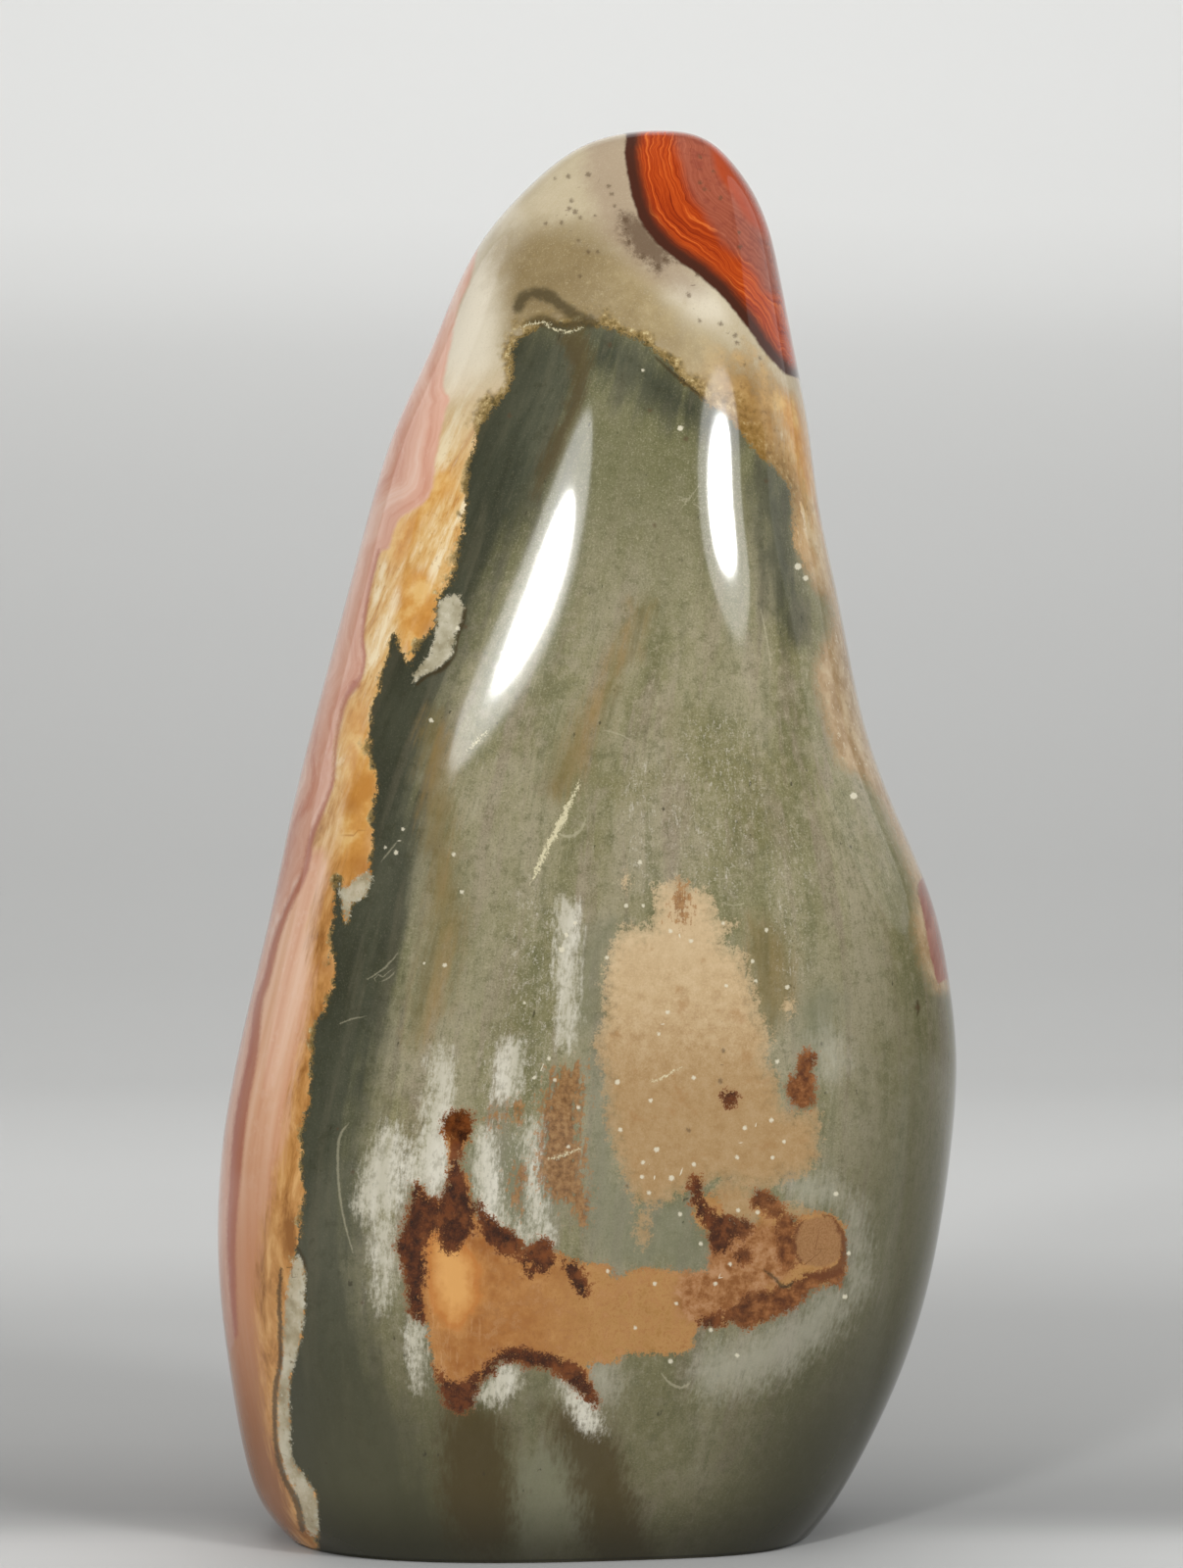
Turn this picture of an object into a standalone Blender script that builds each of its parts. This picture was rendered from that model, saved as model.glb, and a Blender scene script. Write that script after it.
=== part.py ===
# A free-standing polished stone of polychrome jasper: one solid, cut flat underneath, ground to
# a soft leaning cone with a rounded tip, and broadest a third of the way up.
# Metres, +Z up, the front faces -Y. The origin is on the ground, under the middle of the stone.

import math

import bmesh
import bpy
import numpy as np

MM = 0.001

# Driving dimensions, in millimetres.
HEIGHT = 160.0
WIDTH = 84.0
DEPTH = 52.0

# Sections from the base edge to just under the tip, as shares of the driving dimensions.
# Each is (height, left edge, right edge, front face, back face). Height is a share of HEIGHT,
# the edges are shares of WIDTH from the middle, and the faces are shares of DEPTH.
SECTIONS = (
    (0.000, -0.402, 0.302, -0.335, 0.330),
    (0.022, -0.437, 0.334, -0.372, 0.365),
    (0.058, -0.463, 0.374, -0.410, 0.402),
    (0.113, -0.482, 0.423, -0.448, 0.440),
    (0.169, -0.496, 0.458, -0.474, 0.466),
    (0.225, -0.500, 0.480, -0.490, 0.484),
    (0.281, -0.493, 0.494, -0.500, 0.496),
    (0.337, -0.475, 0.500, -0.500, 0.500),
    (0.393, -0.451, 0.490, -0.498, 0.496),
    (0.449, -0.426, 0.467, -0.491, 0.484),
    (0.505, -0.404, 0.424, -0.480, 0.466),
    (0.561, -0.379, 0.383, -0.463, 0.446),
    (0.617, -0.351, 0.357, -0.441, 0.424),
    (0.673, -0.323, 0.336, -0.415, 0.402),
    (0.729, -0.295, 0.314, -0.383, 0.378),
    (0.785, -0.262, 0.300, -0.345, 0.354),
    (0.841, -0.215, 0.281, -0.301, 0.326),
    (0.897, -0.170, 0.261, -0.247, 0.290),
    (0.925, -0.139, 0.249, -0.214, 0.264),
    (0.955, -0.090, 0.226, -0.166, 0.226),
    (0.9775, -0.042, 0.196, -0.118, 0.178),
    (0.989, -0.007, 0.174, -0.076, 0.136),
)
TIP = (1.0, 0.098, 0.030)  # height, then the place across and back, in the same shares

# The front and back are ground flatter than an ellipse by this much, and the front face is
# turned a little to one side on the way up.
FLATNESS = 0.035
TURN_LOW = 0.02
TURN_HIGH = -0.05

# Long shallow waves that hand grinding leaves on the front and back, in millimetres.
WAVES = (
    (0.45, 2, 46.0, 0.6),
    (0.30, 3, 31.0, 2.1),
    (0.22, 5, 23.0, 4.0),
)

# The base: a flat disc with a narrow bevel around it.
BEVEL_INSET = 0.014
BEVEL_HEIGHT = 0.45

SEGMENTS = 72
RINGS = 44
JASPER_COLOUR = (0.25, 0.25, 0.18, 1.0)
JASPER_ROUGHNESS = 0.12


def natural_spline(knots, values, at):
    """The smooth curve through values at knots, with no bend at its two ends, read at the places in at."""
    gaps = np.diff(knots)
    slopes = np.diff(values) / gaps
    count = len(knots)
    system = np.eye(count)
    bends = np.zeros(count)
    for i in range(1, count - 1):
        system[i, i - 1 : i + 2] = gaps[i - 1], 2 * (gaps[i - 1] + gaps[i]), gaps[i]
        bends[i] = 6 * (slopes[i] - slopes[i - 1])
    second = np.linalg.solve(system, bends)
    i = np.clip(np.searchsorted(knots, at) - 1, 0, count - 2)
    gap = gaps[i]
    after = (at - knots[i]) / gap
    before = 1 - after
    curve = (before**3 - before) * second[i] + (after**3 - after) * second[i + 1]
    return before * values[i] + after * values[i + 1] + curve * gap**2 / 6


def section_at(rise):
    """Height, middle across, half width, middle in depth and half depth of the section at each rise.

    Rise runs from 0 at the base edge to 1 at the tip, by distance along the outside. Past the tip the
    sections are repeated as in a mirror, with widths below zero, so that the tip closes smoothly."""
    rows = np.array(SECTIONS)
    height = rows[:, 0] * HEIGHT
    middle_x = (rows[:, 1] + rows[:, 2]) / 2 * WIDTH
    half_x = (rows[:, 2] - rows[:, 1]) / 2 * WIDTH
    middle_y = (rows[:, 3] + rows[:, 4]) / 2 * DEPTH
    half_y = (rows[:, 4] - rows[:, 3]) / 2 * DEPTH
    tip = (TIP[0] * HEIGHT, TIP[1] * WIDTH, 0.0, TIP[2] * DEPTH, 0.0)
    sides = (1, 1, -1, 1, -1)
    columns = []
    for column, end, side in zip((height, middle_x, half_x, middle_y, half_y), tip, sides):
        columns.append(np.concatenate([column, [end], side * column[::-1]]))
    steps = np.hypot(np.diff(columns[0]), np.diff(columns[2]))
    along = np.concatenate([[0.0], np.cumsum(steps)])
    at = np.asarray(rise) * along[len(rows)]
    return [natural_spline(along, column, at) for column in columns]


def stone_points(turn, rise):
    """Points of the ground surface, in millimetres: turn is the angle about the vertical, with 0 at +X."""
    height, middle_x, half_x, middle_y, half_y = section_at(rise)
    across = (np.cos(turn) - FLATNESS * np.cos(3 * turn)) / (1 - FLATNESS)
    deep = (np.sin(turn) + FLATNESS * np.sin(3 * turn)) / (1 - FLATNESS)
    lean = TURN_LOW + (TURN_HIGH - TURN_LOW) * height / HEIGHT
    waves = sum(
        size * np.sin(times * turn + height / length + start)
        for size, times, length, start in WAVES
    )
    waves = waves * np.sin(turn) ** 2 * np.clip(half_y / (0.3 * DEPTH), 0, 1)
    x = middle_x + half_x * across
    y = middle_y + (half_y + waves) * deep + lean * half_x * across
    return np.stack([x, y, height], axis=-1)


def shape_stone(mesh):
    """Moves the points of a unit sphere onto the stone: its rings become the base, the bevel and the sections."""
    sphere = np.array([v.co for v in mesh.vertices])
    turn = np.arctan2(sphere[:, 1], sphere[:, 0])
    latitude = np.arcsin(np.clip(sphere[:, 2], -1, 1)) / math.pi + 0.5
    ring = np.rint(latitude * RINGS)
    rise = np.clip((ring - 2) / (RINGS - 2), 0, 1)
    points = stone_points(turn, rise)
    centre = stone_points(np.array([0.0, math.pi]), np.zeros(2)).mean(axis=0)
    on_bevel = ring == 2
    points[on_bevel, 2] = BEVEL_HEIGHT
    on_base = ring == 1
    points[on_base] = centre + (points[on_base] - centre) * (1 - BEVEL_INSET)
    points[ring == 0] = centre
    points[ring <= 1, 2] = 0.0
    middle = (points.min(axis=0) + points.max(axis=0)) / 2
    points[:, :2] -= middle[:2]
    mesh.vertices.foreach_set("co", (points * MM).astype(np.float32).ravel())
    mesh.update()


def jasper_material():
    material = bpy.data.materials.new("polished_jasper")
    material.use_nodes = True
    shader = material.node_tree.nodes["Principled BSDF"]
    shader.inputs["Base Color"].default_value = JASPER_COLOUR
    shader.inputs["Roughness"].default_value = JASPER_ROUGHNESS
    shader.inputs["Metallic"].default_value = 0.0
    return material


def make_stone(collection):
    mesh = bpy.data.meshes.new("stone")
    ball = bmesh.new()
    bmesh.ops.create_uvsphere(ball, u_segments=SEGMENTS, v_segments=RINGS, radius=1.0)
    ball.to_mesh(mesh)
    ball.free()
    shape_stone(mesh)
    mesh.shade_smooth()
    mesh.set_sharp_from_angle(angle=math.radians(30))
    mesh.materials.append(jasper_material())
    stone = bpy.data.objects.new("stone", mesh)
    collection.objects.link(stone)
    return stone


def main():
    for old in list(bpy.data.objects):
        bpy.data.objects.remove(old)
    collection = bpy.data.collections.new("polychrome_jasper")
    bpy.context.scene.collection.children.link(collection)
    make_stone(collection)


main()
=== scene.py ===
# Looks of a polished polychrome jasper freeform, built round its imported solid.
import math

import bpy
import numpy as np
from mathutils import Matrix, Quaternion, Vector


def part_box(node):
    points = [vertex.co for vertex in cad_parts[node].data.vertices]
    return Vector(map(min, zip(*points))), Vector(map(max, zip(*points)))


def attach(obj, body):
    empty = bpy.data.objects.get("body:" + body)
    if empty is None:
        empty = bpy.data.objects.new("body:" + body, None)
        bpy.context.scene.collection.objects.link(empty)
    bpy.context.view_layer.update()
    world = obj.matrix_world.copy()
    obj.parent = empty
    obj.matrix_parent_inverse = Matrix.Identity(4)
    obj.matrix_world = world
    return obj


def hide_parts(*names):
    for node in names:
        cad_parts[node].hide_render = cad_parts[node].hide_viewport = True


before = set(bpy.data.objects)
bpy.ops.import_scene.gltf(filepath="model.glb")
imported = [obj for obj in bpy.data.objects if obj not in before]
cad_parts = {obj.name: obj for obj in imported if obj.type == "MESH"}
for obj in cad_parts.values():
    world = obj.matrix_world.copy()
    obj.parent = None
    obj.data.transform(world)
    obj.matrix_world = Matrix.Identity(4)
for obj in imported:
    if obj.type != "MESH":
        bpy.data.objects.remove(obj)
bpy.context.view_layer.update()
print("frame loaded:", sorted(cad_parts))

mm = 0.001

# The view
photoView = {
    "width": 1207,  # pixels of the photograph
    "height": 1600,
    "lens": 85.0,  # mm on a 36 mm long side
    "sensor": 36.0,
    "across": 0.5,  # mm, where the camera stands
    "distance": 423.0,
    "up": 85.3,
}
pixelsPerRadian = photoView["lens"] / photoView["sensor"] * photoView["height"]
pixelsPerMm = pixelsPerRadian / photoView["distance"]  # at the middle of the stone


# Where points in mm fall in the photograph, in its pixels: the middle of the frame, plus the step from
# the camera's axis divided by the distance ahead of the camera.
def photoPlace(points):
    ahead = points[..., 1] + photoView["distance"]
    x = photoView["width"] / 2 + pixelsPerRadian * (points[..., 0] - photoView["across"]) / ahead
    y = photoView["height"] / 2 - pixelsPerRadian * (points[..., 2] - photoView["up"]) / ahead
    return np.stack([x, y], axis=-1)


def makeCamera():
    data = bpy.data.cameras.new("photoCamera")
    data.lens = photoView["lens"]
    data.sensor_width = photoView["sensor"]
    camera = bpy.data.objects.new("photoCamera", data)
    camera.location = (photoView["across"] * mm, -photoView["distance"] * mm, photoView["up"] * mm)
    camera.rotation_euler = (math.radians(90), 0, 0)
    bpy.context.scene.collection.objects.link(camera)
    bpy.context.scene.camera = camera


# The stone's form
stoneForm = {
    "height": 160.0,  # mm
    "width": 84.0,
    "depth": 52.0,
    # height, left edge, right edge, front face, back face, as shares of the three sizes
    "sections": (
        (0.000, -0.402, 0.302, -0.335, 0.330),
        (0.022, -0.437, 0.334, -0.372, 0.365),
        (0.058, -0.463, 0.374, -0.410, 0.402),
        (0.113, -0.482, 0.423, -0.448, 0.440),
        (0.169, -0.496, 0.458, -0.474, 0.466),
        (0.225, -0.500, 0.480, -0.490, 0.484),
        (0.281, -0.493, 0.494, -0.500, 0.496),
        (0.337, -0.475, 0.500, -0.500, 0.500),
        (0.393, -0.451, 0.490, -0.498, 0.496),
        (0.449, -0.426, 0.467, -0.491, 0.484),
        (0.505, -0.404, 0.424, -0.480, 0.466),
        (0.561, -0.379, 0.383, -0.463, 0.446),
        (0.617, -0.351, 0.357, -0.441, 0.424),
        (0.673, -0.323, 0.336, -0.415, 0.402),
        (0.729, -0.295, 0.314, -0.383, 0.378),
        (0.785, -0.262, 0.300, -0.345, 0.354),
        (0.841, -0.215, 0.281, -0.301, 0.326),
        (0.897, -0.170, 0.261, -0.247, 0.290),
        (0.925, -0.139, 0.249, -0.214, 0.264),
        (0.955, -0.090, 0.226, -0.166, 0.226),
        (0.9775, -0.042, 0.196, -0.118, 0.178),
        (0.989, -0.007, 0.174, -0.076, 0.136),
    ),
    "tip": (1.0, 0.098, 0.030),  # height, then the place across and back, in the same shares
    "flatness": 0.035,  # how much flatter than an ellipse the front and back are
    "turnLow": 0.02,  # how far the front face is turned aside at the base, and at the tip
    "turnHigh": -0.05,
    # hand grinding's waves: height in mm, how many round the stone, length up it in mm, start
    "waves": ((0.45, 2, 46.0, 0.6), (0.30, 3, 31.0, 2.1), (0.22, 5, 23.0, 4.0)),
    "waveFade": 0.3,  # the half depth, as a share of the depth, below which the waves die out
    "bevelInset": 0.014,  # share of the base
    "bevelHeight": 0.45,  # mm
}
stoneGrid = {
    "columns": 292,
    "rows": 312,
    "frontShare": 0.30,  # how much closer the columns stand on the front than on the back
    "baseRings": (0.25, 0.5, 0.75, 0.97),  # shares of the way from the base's middle to its edge
    "sharpAngle": 35.0,  # degrees
}


# The smooth curve through values at knots, unbent at its two ends: between two knots it is the straight
# line plus, for each end, that end's bend times (share cubed - share) times the gap squared over 6.
def naturalSpline(knots, values, at):
    gaps = np.diff(knots)
    slopes = np.diff(values) / gaps
    inner = np.arange(1, len(knots) - 1)
    system = np.eye(len(knots))
    system[inner, inner - 1] = gaps[:-1]
    system[inner, inner] = 2 * (gaps[:-1] + gaps[1:])
    system[inner, inner + 1] = gaps[1:]
    bends = np.zeros(len(knots))
    bends[inner] = 6 * np.diff(slopes)
    second = np.linalg.solve(system, bends)
    i = np.clip(np.searchsorted(knots, at) - 1, 0, len(knots) - 2)
    after = (at - knots[i]) / gaps[i]
    before = 1 - after
    curve = (before**3 - before) * second[i] + (after**3 - after) * second[i + 1]
    return before * values[i] + after * values[i + 1] + curve * gaps[i] ** 2 / 6


# Height, middle across, half width, middle in depth and half depth at each rise, which goes from 0 at the
# base to 1 at the tip by distance along the outside. Past the tip the sections are repeated as in a
# mirror, with widths below zero, so that the tip closes smoothly.
def sectionAt(rise):
    tall, wide, deep = stoneForm["height"], stoneForm["width"], stoneForm["depth"]
    height, left, right, front, back = np.array(stoneForm["sections"]).T
    tipHeight, tipAcross, tipDeep = stoneForm["tip"]
    rows = (  # the values up the stone, the value at the tip, the sign past the tip
        (height * tall, tipHeight * tall, 1),
        ((left + right) / 2 * wide, tipAcross * wide, 1),
        ((right - left) / 2 * wide, 0.0, -1),
        ((front + back) / 2 * deep, tipDeep * deep, 1),
        ((back - front) / 2 * deep, 0.0, -1),
    )
    columns = [np.concatenate([values, [end], side * values[::-1]]) for values, end, side in rows]
    steps = np.hypot(np.diff(columns[0]), np.diff(columns[2]))
    along = np.concatenate([[0.0], np.cumsum(steps)])
    at = rise * along[len(height)]
    return [naturalSpline(along, column, at) for column in columns]


# A section is a flattened ellipse: cos and sin of the turn, each with a little of its third harmonic,
# sheared by the lean and swollen by the waves.
def stonePoints(turn, rise):
    height, middleX, halfX, middleY, halfY = sectionAt(rise)
    flat = stoneForm["flatness"]
    across = (np.cos(turn) - flat * np.cos(3 * turn)) / (1 - flat)
    deep = (np.sin(turn) + flat * np.sin(3 * turn)) / (1 - flat)
    turnLow, turnHigh = stoneForm["turnLow"], stoneForm["turnHigh"]
    lean = turnLow + (turnHigh - turnLow) * height / stoneForm["height"]
    waves = 0
    for size, times, length, start in stoneForm["waves"]:
        waves = waves + size * np.sin(times * turn + height / length + start)
    waves = waves * np.sin(turn) ** 2 * np.clip(halfY / (stoneForm["waveFade"] * stoneForm["depth"]), 0, 1)
    x = middleX + halfX * across
    y = middleY + (halfY + waves) * deep + lean * halfX * across
    return np.stack([x, y, height], axis=-1)


# The whole surface in mm, rows of even rise by columns of turn. The turn is an even angle less a quarter
# turn, less frontShare times its sine. Under the sections come the bevel's upper edge, the base's edge,
# which is drawn in towards the middle by bevelInset, and the rings of the flat base.
def stoneSurface():
    columns, rows = stoneGrid["columns"], stoneGrid["rows"]
    even = np.arange(columns) / columns * 2 * math.pi
    turnRow = even - math.pi / 2 - stoneGrid["frontShare"] * np.sin(even)  # column 0 is the front's middle
    riseColumn = np.linspace(0, 1, rows + 1)[:-1]
    turn, rise = np.meshgrid(turnRow, riseColumn)
    points = stonePoints(turn, rise)
    centre = stonePoints(np.array([0.0, math.pi]), np.zeros(2)).mean(axis=0)
    baseRow = centre + (points[:1] - centre) * (1 - stoneForm["bevelInset"])
    baseRow[..., 2] = 0.0
    bevelRow = points[:1].copy()
    bevelRow[..., 2] = stoneForm["bevelHeight"]
    discRows = [centre + (baseRow - centre) * share for share in stoneGrid["baseRings"]]
    points = np.concatenate([*discRows, baseRow, bevelRow, points[1:]])
    extra = len(points) - rows
    turn = np.concatenate([turn[:1]] * extra + [turn])
    rise = np.concatenate([rise[:1]] * extra + [rise])
    tip = stonePoints(np.array([0.0]), np.array([1.0]))[0]
    return points, turn, rise, centre * [1, 1, 0], tip


# The grid's squares as faces, closed by triangles round the base's middle and round the tip, and the
# whole moved across until it stands in the middle of the solid's box.
def makeStoneMesh():
    points, turn, rise, centre, tip = stoneSurface()
    rows, columns = turn.shape
    flat = np.concatenate([points.reshape(-1, 3), [centre, tip]])
    solidLow, solidHigh = (np.array(corner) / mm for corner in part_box("stone"))
    lowest, highest = flat.min(axis=0), flat.max(axis=0)
    flat[:, :2] += ((solidLow + solidHigh) / 2 - (lowest + highest) / 2)[:2]
    frontTurn = -math.pi / 2  # the base's middle and the tip count as front
    allTurns = np.concatenate([turn.ravel(), [frontTurn, frontTurn]])
    allRises = np.concatenate([rise.ravel(), [0.0, 1.0]])
    row, column = np.meshgrid(np.arange(rows - 1), np.arange(columns), indexing="ij")
    after = (column + 1) % columns
    below, above = row * columns, (row + 1) * columns
    quads = np.stack([below + column, below + after, above + after, above + column], axis=-1).reshape(-1, 4)
    around = np.arange(columns)
    following = (around + 1) % columns
    bottom = np.stack([np.full(columns, rows * columns), following, around], axis=-1)
    last = (rows - 1) * columns
    top = np.stack([last + around, last + following, np.full(columns, rows * columns + 1)], axis=-1)
    mesh = bpy.data.meshes.new("jasperStone")
    mesh.vertices.add(len(flat))
    mesh.vertices.foreach_set("co", (flat * mm).astype(np.float32).ravel())
    corners = np.concatenate([quads.ravel(), bottom.ravel(), top.ravel()])
    sizes = np.concatenate([np.full(len(quads), 4), np.full(len(bottom) + len(top), 3)])
    mesh.loops.add(len(corners))
    mesh.loops.foreach_set("vertex_index", corners.astype(np.int32))
    mesh.polygons.add(len(sizes))
    mesh.polygons.foreach_set("loop_start", (np.cumsum(sizes) - sizes).astype(np.int32))
    mesh.update(calc_edges=True)
    mesh.validate()
    mesh.shade_smooth()
    mesh.set_sharp_from_angle(angle=math.radians(stoneGrid["sharpAngle"]))
    return mesh, flat, allTurns, allRises


stoneMesh, stonePlaces, stoneTurn, stoneRise = makeStoneMesh()
print("stone mesh:", len(stoneMesh.polygons), "faces")

# The markings' outlines, in the photograph's pixels
zones = {  # the large fields, which meet along these edges
    "green": [
        (530, 345), (545, 337), (560, 331), (583, 334), (600, 331), (625, 337), (645, 344), (668, 358),
        (697, 388), (722, 412), (748, 430), (768, 458), (785, 474), (799, 490), (806, 503), (809, 530),
        (811, 556), (820, 574), (833, 600), (846, 613), (848, 640), (838, 668), (832, 690), (842, 728),
        (850, 760), (860, 782), (880, 792), (898, 816), (914, 850), (927, 885), (935, 912), (933, 940),
        (937, 962), (944, 990), (953, 1004), (966, 1012), (1100, 1000), (1180, 1300), (1100, 1750),
        (326, 1750), (326, 1620), (324, 1560), (322, 1527), (309, 1506), (297, 1489), (295, 1456),
        (295, 1410), (303, 1381), (310, 1344), (311, 1294), (303, 1282), (305, 1265), (311, 1224),
        (309, 1199), (311, 1145), (317, 1116), (322, 1054), (332, 1029), (341, 1000), (339, 957),
        (341, 929), (345, 898), (349, 906), (353, 943), (359, 924), (373, 914), (378, 893), (379, 875),
        (381, 842), (383, 812), (386, 794), (379, 766), (378, 743), (379, 728), (386, 702), (396, 669),
        (402, 647), (410, 668), (419, 676), (428, 660), (442, 640), (446, 615), (462, 590), (470, 560),
        (478, 500), (484, 452), (497, 425), (515, 403), (523, 385), (524, 362),
    ],
    "pink": [
        (440, 232), (472, 226), (486, 237), (485, 262), (478, 290), (467, 315), (460, 347), (454, 382),
        (452, 398), (458, 406), (455, 419), (447, 451), (443, 481), (438, 505), (425, 518), (407, 529),
        (401, 542), (396, 559), (387, 563), (381, 584), (376, 607), (372, 630), (370, 652), (372, 671),
        (369, 689), (364, 699), (351, 716), (341, 757), (339, 796), (329, 825), (317, 854), (310, 890),
        (293, 926), (281, 958), (271, 999), (263, 1023), (257, 1074), (245, 1137), (239, 1199),
        (235, 1261), (237, 1323), (239, 1365), (215, 1400), (100, 1400), (100, 300), (300, 238),
    ],
    "peach": [
        (328, 866), (334, 885), (331, 905), (322, 930), (318, 960), (319, 1000), (314, 1040), (306, 1080),
        (298, 1116), (294, 1149), (287, 1182), (279, 1215), (271, 1249), (264, 1303), (264, 1350),
        (268, 1400), (272, 1440), (280, 1480), (292, 1520), (302, 1560), (306, 1640), (100, 1640),
        (100, 1100), (200, 1000), (240, 930), (290, 880),
    ],
    "eye": [
        (639, 100), (639, 138), (638, 158), (643, 190), (653, 224), (671, 248), (693, 267), (716, 283),
        (738, 304), (761, 332), (779, 357), (795, 375), (810, 384), (870, 380), (900, 250), (820, 90),
        (720, 50),
    ],
    "core": [
        (680, 90), (685, 130), (692, 162), (701, 193), (718, 218), (735, 246), (757, 266), (772, 282),
        (784, 300), (830, 290), (830, 200), (780, 100), (730, 70),
    ],
    "maroon": [
        (937, 900), (941, 930), (950, 981), (957, 1003), (966, 1000), (1010, 990), (1010, 900),
        (970, 880),
    ],
}
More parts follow.
